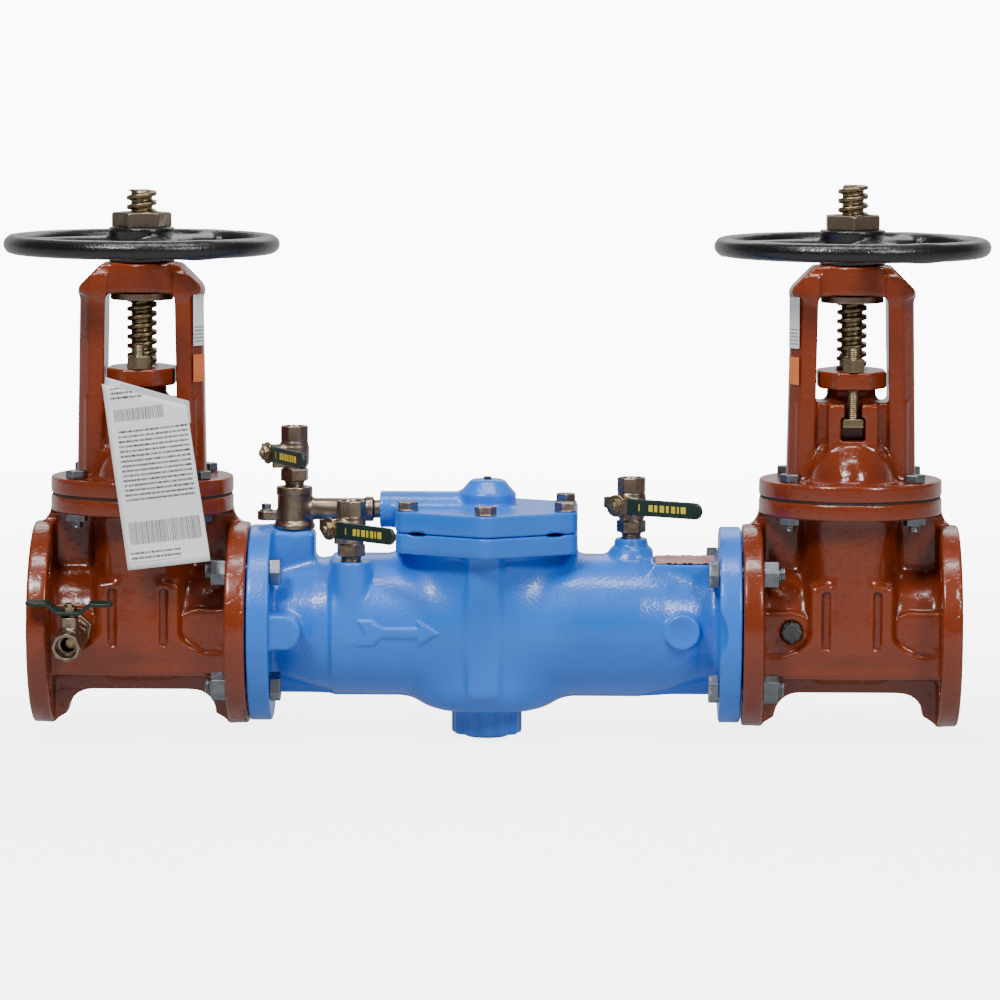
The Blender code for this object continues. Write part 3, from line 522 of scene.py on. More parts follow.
def make_materials():
    make_cast_skin()
    make_worn_paint_and_shade()
    make_tarnish()
    # The second colour of each paint is painted shade for its creases; the third is the colour of its
    # worn edges.
    brown, brown_crease_shade, brown_edge = (0.205, 0.028, 0.005), (0.05, 0.006, 0.0015), (0.28, 0.055, 0.014)
    painted(
        "brown_gloss", brown, brown_crease_shade, brown_edge, 0.4, 0.02, 0.40, 0.12, 240.0, 0.16, 0.35
    )
    blue, blue_crease_shade, blue_edge = (0.013, 0.18, 0.78), (0.008, 0.125, 0.60), (0.06, 0.28, 0.88)
    painted(
        "blue_fusion_coat", blue, blue_crease_shade, blue_edge, 0.30, 0.02, 0.12, 0.80, 330.0, 0.28, 0.3
    )
    black, black_crease_shade, slate = (0.003, 0.0035, 0.005), (0.001, 0.001, 0.0015), (0.02, 0.023, 0.03)
    painted("black_gloss", black, black_crease_shade, slate, 0.4, 0.06, 0.30, 0.9, 520.0, 0.22, 0.3)
    bare("cast_bronze", (0.35, 0.27, 0.20), (0.15, 0.105, 0.075), (0.80, 0.62, 0.40), 0.7, 0.35)
    bare("turned_brass", (0.33, 0.26, 0.155), (0.11, 0.08, 0.045), (0.80, 0.70, 0.46), 0.5, 0.15)
    bare("zinc_plate", (0.25, 0.27, 0.295), (0.09, 0.10, 0.115), (0.75, 0.78, 0.82), 0.40, 0.05)
    bare("rusty_zinc", (0.40, 0.36, 0.34), (0.18, 0.10, 0.07), (0.75, 0.75, 0.76), 0.8, 0.30)
    bare("malleable_iron", (0.10, 0.105, 0.11), (0.03, 0.03, 0.03), (0.25, 0.25, 0.26), 0.5, 0.4, 0.7)
    bare("stainless_steel", (0.62, 0.62, 0.61), (0.42, 0.42, 0.41), (0.85, 0.85, 0.85), 0.3, 0.1)
    bare("coppery_plate", (0.50, 0.19, 0.17), (0.36, 0.13, 0.12), (0.62, 0.32, 0.28), 0.5, 0.1, 0.25)
    plain("moulded_rubber", (0.012, 0.012, 0.013), (0.025, 0.025, 0.026), 90.0, 0.7, 0.3)
    plain("vinyl_grip", (0.003, 0.018, 0.012), (0.005, 0.024, 0.017), 120.0, 0.42, 0.1)
    plain("yellow_mark", (0.75, 0.60, 0.02), (0.62, 0.48, 0.02), 150.0, 0.40, 0.2)
    plain("white_acetal", (0.74, 0.73, 0.69), (0.66, 0.65, 0.61), 60.0, 0.40, 0.1)
    plain("orange_label", (0.85, 0.22, 0.06), (0.78, 0.18, 0.05), 60.0, 0.45, 0.1)
    tree, paper = plain("floor", (0.92, 0.92, 0.92), (0.90, 0.90, 0.90), 3.0, 0.6, 0.05)
    depth = add(tree, "ShaderNodeSeparateXYZ", {0: object_place(tree)}).outputs[1]
    far = spread(tree, depth, 0.1, 3.0, 0.0, 1.0)
    lit = mix(tree, far, (0.42, 0.42, 0.42), (1.0, 1.0, 1.0))
    tree.links.new(seen(tree, lit, 0.06), paper.inputs["Emission Color"])
    card = mix(tree, far, (0.90, 0.90, 0.90), (0.92, 0.92, 0.92))
    tree.links.new(seen(tree, card, 0.35), paper.inputs["Base Color"])
    paper.inputs["Emission Strength"].default_value = 10.0
    rows = [(0.08, 0.92, 0.36, 0.755), (0.04, 0.42, 0.90, 0.97), (0.06, 0.66, 0.035, 0.10)]
    bars = [(0.07, 0.93, 0.13, 0.25), (0.06, 0.66, 0.79, 0.855)]
    printed("tag_card", (0.93, 0.94, 0.96), (0.07, 0.07, 0.08), rows, bars, 0.026)
    printed(
        "tag_back", (0.80, 0.82, 0.86), (0.16, 0.16, 0.18), [(0.08, 0.92, 0.1, 0.9)], [], 0.045
    )
    printed(
        "white_label", (0.86, 0.88, 0.90), (0.20, 0.24, 0.24), [(0.1, 0.9, 0.05, 0.38)], [], 0.07
    )


# Gate valve castings -----------------------------------------------------------------------------


def valve_body_shape(x, y, z):
    ax, ay = np.abs(x), np.abs(y)
    pipe = np.hypot(y, z)
    shape = disc(y, z, ax, FLANGE_RADIUS, 82.6, 101.6, 3.0)
    shape = join(shape, np.maximum(pipe - 51.5, ax - 90), 9)
    chest = meet(oval(x, y, 46, 68), slab(y, -62, 62), 14)
    chest = meet(chest, slab(z, -27, 116), 9)
    shape = join(shape, chest, 8)
    shape = join(shape, meet(pipe - 56, ax - 30, 6), 8)
    band = brick(ax, ay, z, (-30, -30, -45), (90, 55, -20), 6)
    shape = join(shape, band, 7)
    drop = np.clip(ax - 48, 0, 22)
    under = -85 + np.sqrt(np.maximum(22**2 - drop**2, 0)) - np.clip(ax - 70, 0, 12) * 0.6
    keel = np.maximum(np.maximum(under - z, z), np.maximum(ay - 15, ax - 85))
    shape = join(shape, keel, 5)
    top = 118 - np.clip(ax - 79, 0, 20) * 1.7
    web = np.maximum(np.maximum(z - top, 30 - z), np.maximum(ay - 6, ax - 92))
    shape = join(shape, web, 7)
    deck = disc(x, y, z, BONNET_RADIUS, 106.5, 122.4, 3.0)
    shape = join(shape, deck, 5)
    flare = np.clip(-2 - z, 0, 22) ** 2 * 0.045
    outer = (ax - 39 - flare) * 0.8
    rails = meet(np.maximum(outer, 20 - ax), ay - 62 + flare * 0.35, 5)
    rails = meet(rails, slab(z, -26, 44), 6)
    shape = join(shape, rails, 8)
    grooves = brick(ax, ay, z, (20.5, 57.8, -17), (27.5, 80, 38), 3)
    shape = cut(shape, grooves, 3)
    round_end = np.hypot(ax - BOSS_X, z) - 19
    straight = np.maximum(BOSS_X - ax, np.abs(z) - 18.5)
    pads = meet(np.minimum(round_end, straight), ay - 54, 3)
    pads = np.maximum(pads, ax - 86)
    shape = join(shape, pads, 4)
    holes = np.hypot(ay - BOLT_OFFSET, np.abs(z) - BOLT_OFFSET) - BOLT_HOLE
    shape = cut(shape, np.maximum(holes, 78 - ax), 1.0)
    shape = cut(shape, np.maximum(pipe - BORE_RADIUS, ax - 110), 1.5)
    pocket = facets(ax, ay, [(-1, -1), (24, -1), (24, 40), (21, 49), (10, 53), (-1, 53)])
    low = np.where(z < 0, pipe - 51, ay - 53)
    shape = cut(shape, np.maximum(np.maximum(pocket, low), slab(z, -52, 130)), 0)
    tap = np.maximum(np.hypot(x + BOSS_X, z) - 10.2, y + 35)
    return cut(shape, tap, 1.0)


def bonnet_shape(x, y, z):
    ax, ay = np.abs(x), np.abs(y)
    shape = disc(x, y, z, BONNET_RADIUS, 123.6, 139.5, 3.0)
    dome = egg(x, y, z - 136, (45, 75, 49))
    dome = np.maximum(dome, 127 - z)
    shape = join(shape, dome, 7)
    nose = brick(x, y, z, (-23, -47, 150), (23, 47, 212.5), 4)
    shape = join(shape, nose, 5)
    tie = brick(x, y, z, (-50, -24, 130), (50, 24, 212.5), 3)
    shape = join(shape, tie, 5)
    lean = ax + (z - 140) * 0.018
    section = [(35.5, -27), (49, -27), (60.5, -12), (60.5, 12), (49, 27), (35.5, 27)]
    arms = meet(facets(lean, y, section, 2.0), slab(z, 130, 330), 2)
    shape = join(shape, arms, 4)
    beam = brick(x, y, z, (-57, -24, 312.5), (57, 24, 339.3), 2.5)
    shape = join(shape, beam, 8)
    shape = meet(shape, (ax + z - 376) / math.sqrt(2), 2)
    shape = join(shape, disc(x, y, z, 33.5, 312.8, 339.5, 2), 4)
    radial = np.hypot(x, y)
    box = turned(radial, z, [(200, 27), (213, 27), (218, 23), (230, 23)])
    shape = join(shape, meet(box, slab(z, 200, 224), 1.5), 2)
    slots = brick(ax, ay, z, (-9, 26, 190), (8, 70, 240), 1.5)
    slots = join(slots, brick(ax, ay, z, (-12, 24.5, 178), (11.3, 70, 200), 2.5))
    shape = cut(shape, slots, 1.2)
    inside = egg(x, y, z - 120, (30, 58, 34))
    inside = join(inside, np.maximum(radial - 14.5, 226 - z))
    inside = join(inside, np.maximum(radial - 14.5, slab(z, 140, 240)))
    inside = join(inside, np.maximum(radial - 20, slab(z, 190, 240)))
    inside = join(inside, np.maximum(radial - 22.4, 300 - z))
    return cut(shape, inside, 0.8)


def gland_shape(x, y, z):
    outline = [(-33, -1), (32, -1), (32, 19), (15, 46.5), (-33, 46.5)]
    plate = meet(facets(np.abs(x), np.abs(y), outline, 2), slab(z, 225.5, 242), 3)
    radial = np.hypot(x, y)
    shape = join(plate, meet(radial - 19.5, slab(z, 212.5, 230)), 1)
    shape = cut(shape, radial - 14.5, 1)
    return cut(shape, np.hypot(x, np.abs(y) - 37) - 6.6, 0.8)


def stem_shape(top):
    def shape(x, y, z):
        screw = threaded(x, y, z, *STEM_THREAD)
        radial = np.hypot(x, y)
        plain_part = np.maximum(radial - 13.8, z - 232)
        rod = join(np.maximum(screw, 230 - z), plain_part, 1)
        return meet(rod, np.maximum(z - top, 36.5 - z), 2.5)

    return shape


def yoke_nut_shape(x, y, z):
    radial = np.hypot(x, y)
    profile = [(304, 29.5), (311.5, 29.5), (311.8, 22), (371, 22), (371.2, 19), (390, 19)]
    shape = meet(turned(radial, z, profile), slab(z, 305, 386), 1.0)
    return cut(shape, radial - 14.5, 0.8)


def wheel_shape(x, y, z):
    radial = np.hypot(x, y)
    rim = (np.hypot((radial - 120.3) / 9.4, (z - 357) / 8.8) - 1) * 8.8
    hub_r = np.interp(z, [340, 344, 352, 362, 369, 373], [31, 31, 27, 27, 31, 31])
    hub = meet(radial - hub_r.astype(np.float32), slab(z, 340.4, 373), 2)
    shape = rim
    for i in range(3):
        angle = math.pi + TURN * i / 3
        along = x * math.cos(angle) + y * math.sin(angle)
        across = y * math.cos(angle) - x * math.sin(angle)
        width = np.interp(along, [20, 70, 118], [17, 11, 14]).astype(np.float32)
        tall = np.interp(along, [20, 118], [9, 6]).astype(np.float32)
        bar = (np.hypot(across / width, (z - 356) / tall) - 1) * tall
        bar = np.maximum(bar, slab(along, 15, 120))
        shape = join(shape, bar, 7)
    shape = join(shape, hub, 7)
    return cut(shape, radial - 22.2, 1)


def wheel_nut_shape(turn):
    def shape(x, y, z):
        body = hexagon_head(x, y, z, 49, 373.4, 387, turn)
        return cut(body, threaded(x, y, z, 19.4, 0.8, 2.0), 0.6)

    return shape


# Check valve body --------------------------------------------------------------------------------


def arrow_outline(x, z):
    """A plain flow arrow, drawn as an outline: its field is distance to the arrow's shape."""
    x = x - 3
    tall = np.abs(z + 2)
    shaft = np.maximum(slab(x, 316, 362), tall - 4.8)
    head = np.maximum(360.5 - x, ((x - 380.5) * 12 + tall * 20) / 23.3)
    tail = np.maximum(tall - 11.8, (312 - tall * 0.67 - x) * 0.83)
    tail = np.maximum(tail, (x - 332.6 + tall * 1.216) * 0.64)
    return np.minimum(np.minimum(shaft, head), tail)


def pry_slots(x, y, z):
    """Shallow slots in the joint of deck and cover, where a bar can part them."""
    slots = np.hypot(np.abs(x - ACCESS_X) - 64, (z - 90.4) * 5) - 8.5
    return np.maximum(slots, 22 - np.abs(y))


def check_body_shape(x, y, z):
    ay, az = np.abs(y), np.abs(z)
    pipe = np.hypot(y, z)
    flanges = disc(y, z, x, 92.5, 204.3, 224.9, 2)
    flanges = join(flanges, disc(y, z, x, 92.5, 645.1, 665.7, 2))
    recess = np.maximum(pipe - 68, -slab(x, *BODY_ENDS))
    flanges = cut(flanges, recess)
    profile = [(225, 50), (243, 55), (264, 60.5), (280, 63), (283, 66.5)]
    profile += [(570, 66.5), (596, 62), (628, 53), (646, 52)]
    barrel = np.maximum(turned(pipe, x, profile) * 0.96, slab(x, 215, 655))
    shape = join(flanges, barrel, 9)
    middle = np.hypot(x - ACCESS_X, y)
    housing = meet(middle - 67, slab(z, -80, 76), 26)
    shape = join(shape, housing, 16)
    rib = brick(x, y, z, (411, -71.0, -62), (439, 0, 80), 6)
    shape = join(shape, rib, 9)
    deck = facets(x - ACCESS_X, y, polygon(6, DECK_FLATS, math.pi / 2), 7)
    deck = meet(deck, slab(z, 71, 90.1), 2)
    shape = join(shape, deck, 9)
    keel = np.maximum(np.maximum(-66 - z, z + 20), np.maximum(ay - 8, slab(x, 215, 655)))
    shape = join(shape, keel, 7)
    drain = facets(x - ACCESS_X, y, polygon(6, 60, 0.0), 5)
    lobes = facets(x - ACCESS_X, y, polygon(6, 60, math.pi / 6), 5)
    drain = meet(np.minimum(drain, lobes), slab(z, -104, -60), 3)
    shape = join(shape, drain, 5)
    pad = brick(x, y, z, (225, -20, 20), (265, 20, 88.6), 6)
    shape = join(shape, pad, 9)
    (cx, cy, top), _ = COCKS["cock_3"]
    boss = disc(x - cx, y - cy, z, 18.6, -12, top, 2)
    shape = join(shape, boss, 4)
    profile = [(60, 24), (67, 23), (73, 19), (74, 16.6), (81, 15.2), (83, 15.2)]
    fourth_x = COCKS["cock_4"][0][0]
    boss = meet(turned(np.hypot(x - fourth_x, y), z, profile) * 0.8, slab(z, 20, 82), 1.5)
    shape = join(shape, boss, 4)
    end = np.minimum(np.hypot(x - 239, z) - 16, np.maximum(x - 239, az - 16))
    side_pad = meet(end, slab(y, -86, -30), 3)
    side_pad = np.maximum(side_pad, 212 - x)
    shape = join(shape, side_pad, 4)
    from_blank = np.hypot(x - BLANK_BOSS_X, z)
    blank = meet(from_blank - 16.5, slab(y, -65.5, -20), 2.5)
    shape = join(shape, blank, 4)
    shape = cut(shape, np.hypot(from_blank, y + 108) - 45.2, 1.5)
    arrow = meet(arrow_outline(x, z), np.maximum(pipe - 68.4, y + 20), 1.2)
    shape = join(shape, arrow, 1.6)
    plate_web = brick(x, y, z, (583, -36, 25), (650, 36, 60.5), 3)
    shape = join(shape, plate_web, 10)
    shape = cut(shape, brick(x, y, z, (583.5, -34, 60.6), (644, 34, 85), 1), 1)
    holes = np.hypot(ay - BOLT_OFFSET, az - BOLT_OFFSET) - BOLT_HOLE
    shape = cut(shape, np.maximum(holes, -slab(x, 230, 640)), 1.0)
    bore = [(200, BORE_RADIUS), (262, BORE_RADIUS), (262.2, 57), (498, 57), (498.2, 44), (506, 44)]
    bore += [(506.2, 57), (598, 57), (602, BORE_RADIUS), (670, BORE_RADIUS)]
    shape = cut(shape, turned(pipe, x, bore), 1)
    shape = cut(shape, np.maximum(middle - 62, slab(z, -50, 100)), 1)
    for (cx, cy, top), _ in COCKS.values():
        tap = np.maximum(np.hypot(x - cx, y - cy) - 9.9, 20 - z)
        shape = cut(shape, tap, 0.8)
    return cut(shape, pry_slots(x, y, z), 0.8)


def cover_shape(x, y, z):
    plate = facets(x - ACCESS_X, y, polygon(6, DECK_FLATS, math.pi / 2), 7)
    shape = meet(plate, slab(z, 90.7, 111.0), 2.5)
    radial = np.hypot(x - ACCESS_X, y)
    crown = turned(radial, z, [(100, 27), (123.5, 27), (137, 15.5), (140, 15.5)])
    crown = meet(crown * 0.8, slab(z, 100, 137), 2.5)
    port = disc(y, z - PORT_Z, x, 17.3, 325.8, ACCESS_X, 1.5)
    shape = join(shape, join(crown, port, 4), 6)
    shape = np.maximum(shape, 90.7 - z)
    shape = cut(shape, np.maximum(np.hypot(y, z - PORT_Z) - 9, x - 415), 0.8)
    well = np.maximum(radial - 14, z - 120)
    shape = cut(shape, well, 0.5)
    shape = cut(shape, radial - 3.5, 0.3)
    return cut(shape, pry_slots(x, y, z), 0.8)


def tee_shape(x, y, z):
    cx = x - TEE_X
    radial = np.hypot(cx, y)
    profile = [(88, 19.5), (93.5, 19.5), (97, 16.2), (121, 16.2), (122, 17.2), (131, 17.2)]
    upright = meet(turned(radial, z, profile), slab(z, 89.2, 129.2), 1.5)
    branch_r = [(245, 10.3), (311, 10.3), (313, 11.8), (319.5, 11.8), (320.2, 8.6), (340, 8.6)]
    branch = turned(np.hypot(y, z - PORT_Z), x, branch_r)
    branch = np.maximum(branch, slab(x, 246, 338))
    shape = join(upright, branch, 5)
    lug = np.minimum(np.hypot(x - 218.5, y) - 8.5, np.maximum(np.abs(y) - 8.5, 218.5 - x))
    lug = meet(lug, slab(z, 97, 106), 1.5)
    lug = np.maximum(lug, x - 240)
    shape = join(shape, lug, 4)
    shape = cut(shape, np.maximum(radial - 7, 127 - z), 0.5)
    return cut(shape, np.maximum(radial - 10.3, 120 - z), 0.6)


# Test cocks ----------------------------------------------------------------------------------------


def cock_shape(nipple):
    """A ball valve drawn upright: its stem points to -Y, its thread stands on z = 0."""

    def shape(x, y, z):
        radial = np.hypot(x, y)
        profile = [(3, 9.4), (nipple, 9.4), (17, 11.3), (21.5, 13.7), (27, 14), (37, 14)]
        profile += [(41, 12.6), (44, 11.6), (60, 11.6)]
        core = meet(turned(radial, z, profile) * 0.9, slab(z, nipple - 2, 56), 1)
        screw = threaded(x, y, z, *TAP_THREAD)
        core = join(core, np.maximum(screw, slab(z, -8, nipple + 1)), 0.3)
        foot = meet(facets(x, y, polygon(6, 24.5, math.pi / 6), 0.6), slab(z, nipple, 16.5), 1.2)
        mouth = meet(facets(x, y, polygon(8, 25.6, 0.0), 0.6), slab(z, 42.5, 57), 1.4)
        whole = join(join(core, foot, 1.2), mouth, 1.2)
        ring = disc(x, y, z, 13.2, 39, 42, 0.8)
        whole = join(whole, ring, 0.8)
        neck = disc(x, z - PIVOT, y, 8.2, -24, 0, 0.8)
        whole = join(whole, neck, 3)
        stop = brick(x, y, z, (3.5, -24.5, PIVOT - 14), (8.5, -12, PIVOT - 6), 1)
        whole = join(whole, stop, 1.5)
        bore = [(-10, 7), (23, 7), (27, 9.9), (32, 11), (37, 9.9), (41, 7), (45, 7), (45.2, 9.4)]
        bore += [(55, 9.4), (57.5, 10.4)]
        whole = cut(whole, turned(radial, z, bore), 0.5)
        return cut(whole, np.maximum(np.hypot(x, z - PIVOT) - 3.9, y), 0.2)

    return shape


def lever_plate_shape(x, y, z):
    """The plated strip under the grip, with its round pivot and its stop ear."""
    zz = z - PIVOT
    eye = np.hypot(x, zz) - 10.5
    strip = np.maximum(slab(x, 0, 45), np.abs(zz) - 6.6)
    ear = np.maximum(slab(x, -13, 0), np.abs(zz - 3) - 5)
    flat = meet(join(np.minimum(eye, strip), ear, 2), slab(y, -28.4, -26), 0.6)
    lip = brick(x, y, zz, (-13.5, -28, -2), (-11.2, -20, 8), 0.8)
    return cut(join(flat, lip, 0.8), np.hypot(x, zz) - GRIP_PIVOT_HOLE, 0.2)


def grip_shape(x, y, z):
    """The dipped vinyl grip: a long oval with a thick edge and a sunk face."""
    zz = z - PIVOT
    outline = np.hypot(np.maximum(x - 86.3, 0), zz) - 7.9
    outline = np.maximum(outline, 12.5 - x)
    shape = meet(outline, slab(y, -29.9, -25.2), 2.4)
    face = np.maximum(outline + 2.2, slab(np.abs(y + 27.55), 2.0, 6))
    return cut(shape, face, 0.6)


MARK_SPANS = ((26, 27.2), (37, 41.5), (43, 46.5), (49, 54), (56, 59), (61.5, 66), (68, 70), (72, 77.5))


def mark_shape(x, y, z):
    """Plain raised bars on the grip's face."""
    shape = None
    for low, high in MARK_SPANS:
        bar = brick(x, y, z - PIVOT, (low, -29.75, -3.2), (high, -29.2, 3.2), 0.2)
        shape = bar if shape is None else join(shape, bar)
    return shape


def pivot_nut_shape(x, y, z):
    zz = z - PIVOT
    nut = hexagon_head(x, zz, y, 12.7, -32.5, -28.5, 0.2, -1)
    end = np.maximum(threaded(x, zz, y, 3.6, 0.4, 1.2), slab(y, -35, -20))
    washer = disc(x, zz, y, 7.2, -29.2, -28.4, 0.3)
    return join(join(nut, end, 0.2), washer, 0.2)


def wing_shape(x, y, z):
    """The two-winged lever, bent up on both sides of its pivot. Drawn with z along the stem."""
    ax = np.abs(x)
    level = np.interp(ax, [0, 10, 21, 41], [27.6, 27.6, 36.1, 36.1]).astype(np.float32)
    strip = np.abs(z - level) * 0.86 - 1.5
    wide = np.interp(ax, [0, 12, 22, 42], [8.5, 7, 7.2, 7.2]).astype(np.float32)
    outline = np.maximum(np.abs(y) - wide, np.hypot(np.maximum(ax - 34, 0), y) - 7.2)
    return cut(meet(strip, outline, 1.0), np.hypot(x, y) - GRIP_PIVOT_HOLE, 0.2)


def wing_nut_shape(x, y, z):
    nut = hexagon_head(x, y, z, 12.7, 29.3, 33.5, 0.3)
    end = np.maximum(threaded(x, y, z, 3.6, 0.4, 1.2), slab(z, 24.6, 36))
    return join(nut, end, 0.2)


# Fasteners -------------------------------------------------------------------------------------------


def flange_bolt_shape(x, y, z):
    """A hex bolt along X: head on the +X side, nut on the -X side, joint at x = 0."""
    shank = np.hypot(y, z) - 7.9
    screw = threaded(y, z, x, 7.9, 0.9, 2.3)
    bar = np.where(x < -18, screw, shank)
    bar = meet(bar, slab(x, -40.5, 25), 1)
    head = hexagon_head(y, z, x, 23.8, 20.4, 30.4, math.pi / 6, 1)
    nut = hexagon_head(y, z, x, 23.8, -35, -20.9, math.pi / 6 + 0.12, -1)
    return join(join(bar, head, 0.8), nut, 0.3)


def bonnet_bolt_shape(x, y, z):
    """Down through both bonnet flanges: head above, nut and stud end below."""
    head = hexagon_head(x, y, z, 18.2, 139.8, 147, 0.2, 1)
    nut = hexagon_head(x, y, z, 18.2, 99.5, 108.5, 0.4, -1)
    bar = threaded(x, y, z, 5.4, 0.6, 1.8)
    bar = meet(bar, slab(z, 93.5, 141), 0.8)
    return join(join(bar, head, 0.5), nut, 0.3)


def gland_bolt_shape(x, y, z):
    """A T-head bolt from the bonnet's recess up through the gland, with its nut."""
    head = brick(x, y, z, (-10.3, -6, 190), (10.3, 6, 198.5), 1.5)
    bar = meet(threaded(x, y, z, 5.6, 0.7, 1.9), slab(z, 194, 264.5), 0.8)
    nut = hexagon_head(x, y, z, 19.6, 242.3, 254.5, 0.42, 1)
    return join(join(bar, head, 0.8), nut, 0.3)


def cover_bolt_shape(x, y, z):
    head = hexagon_head(x, y, z, 18, 112.4, 119.6, 0.1, 1)
    washer = disc(x, y, z, 10.5, 110.9, 112.4, 0.4)
    return join(head, washer, 0.2)


def small_bolt_shape(x, y, z):
    head = hexagon_head(x, y, z, 8.6, 1.2, 6.5, 0.3, 1)
    washer = disc(x, y, z, 6.2, 0, 1.2, 0.3)
    shank = disc(x, y, z, 3.2, -8, 3)
    return join(join(head, washer, 0.2), shank)


def body_plug_shape(x, y, z):
    """A square-headed pipe plug along -Y, its square stood on a corner."""
    turned_x = (x + z) / math.sqrt(2)
    turned_z = (z - x) / math.sqrt(2)
    side = meet(np.abs(turned_x) - 7.4, np.abs(turned_z) - 7.4, 1.5)
    head = meet(side, slab(y, -66, -50), 1.5)
    thread = np.maximum(threaded(x, z, y, 9.7, 0.9, 1.8), slab(y, -55.5, -40))
    return join(head, thread, 1.2)


# Operators: one for each kind of piece ------------------------------------------------------------


def turn_z(degrees):
    return Matrix.Rotation(math.radians(degrees), 4, "Z")


class PREVENTER_OT_materials(Operator):
    """Make the node groups and materials"""

    bl_idname = "preventer.materials"
    bl_label = "Make materials"

    def execute(self, context):
        make_materials()
        return {"FINISHED"}


class PREVENTER_OT_valve_castings(Operator):
    """Cast the two gate valve bodies and their bonnets"""

    bl_idname = "preventer.valve_castings"
    bl_label = "Cast gate valves"

    def execute(self, context):
        size = context.scene.preventer.casting_step
        thin = context.scene.preventer.merging
        body = solid(
            "valve_body", (-104, -98, -98), (104, 98, 124), size, valve_body_shape, thin
        )
        bonnet = solid(
            "bonnet", (-88, -88, 122), (88, 88, 342), size * 0.85, bonnet_shape, thin
        )
        for side, x in SIDES:
            for name, mesh, node in (
                ("valve_casting", body, "valve_body"),
                ("bonnet_casting", bonnet, "bonnet_yoke"),
            ):
                place(f"{side}_{name}", mesh, "brown_gloss", "frame", [f"{side}_{node}"], (x, 0, 0),
                      slot="brown_enamel")
        return {"FINISHED"}


class PREVENTER_OT_valve_works(Operator):
    """Make the glands, stems, yoke nuts, handwheels and wheel nuts"""

    bl_idname = "preventer.valve_works"
    bl_label = "Make stems and wheels"

    def execute(self, context):
        size = context.scene.preventer.piece_step
        thin = context.scene.preventer.merging
        gland = solid("gland", (-34, -48, 211), (34, 48, 244), size, gland_shape, thin)
        nut = solid("yoke_nut", (-31, -31, 304), (31, 31, 388), size, yoke_nut_shape, thin)
        wheel = solid(
            "wheel", (-132, -132, 338), (132, 132, 375), size * 1.6, wheel_shape, thin
        )
        for side, x, top, twist in (("inlet", INLET_X, 408, 8), ("outlet", OUTLET_X, 415, 30)):
            box = ((-15, -15, 35), (15, 15, top + 2))
            stem = solid("stem", *box, size * 0.85, stem_shape(top), thin)
            box = ((-29, -29, 372), (29, 29, 388.5))
            lock = solid("wheel_nut", *box, size * 0.8, wheel_nut_shape(math.radians(twist)))
            for name, mesh, look, body, node, slot in (
                ("gland_plate", gland, "brown_gloss", "frame", "gland", "brown_enamel"),
                ("screw_stem", stem, "turned_brass", side + "_stem_set", "stem", "yellow_brass"),
                ("nut_sleeve", nut, "cast_bronze", side + "_wheel_set", "yoke_nut", "bronze"),
                ("wheel", wheel, "black_gloss", side + "_wheel_set", "handwheel", "black_enamel"),
                ("lock_nut", lock, "cast_bronze", side + "_wheel_set", "wheel_nut", "bronze"),
            ):
                place(f"{side}_{name}", mesh, look, body, [f"{side}_{node}"], (x, 0, 0), slot=slot)
        return {"FINISHED"}


class PREVENTER_OT_check_castings(Operator):
    """Cast the check valve body and its cover"""

    bl_idname = "preventer.check_castings"
    bl_label = "Cast check body"

    def execute(self, context):
        size = context.scene.preventer.casting_step
        thin = context.scene.preventer.merging
        body = solid(
            "check_casting", (204, -100, -107), (666, 100, 92), size, check_body_shape, thin
        )
        cover = solid(
            "cover_casting", (322, -101, 88.4), (515, 101, 140), size * 0.8, cover_shape, thin
        )
        place("check_casting", body, "blue_fusion_coat", "frame", ["check_body"], slot="blue_epoxy")
        place("cover_casting", cover, "blue_fusion_coat", "frame", ["check_cover"], slot="blue_epoxy")
        return {"FINISHED"}


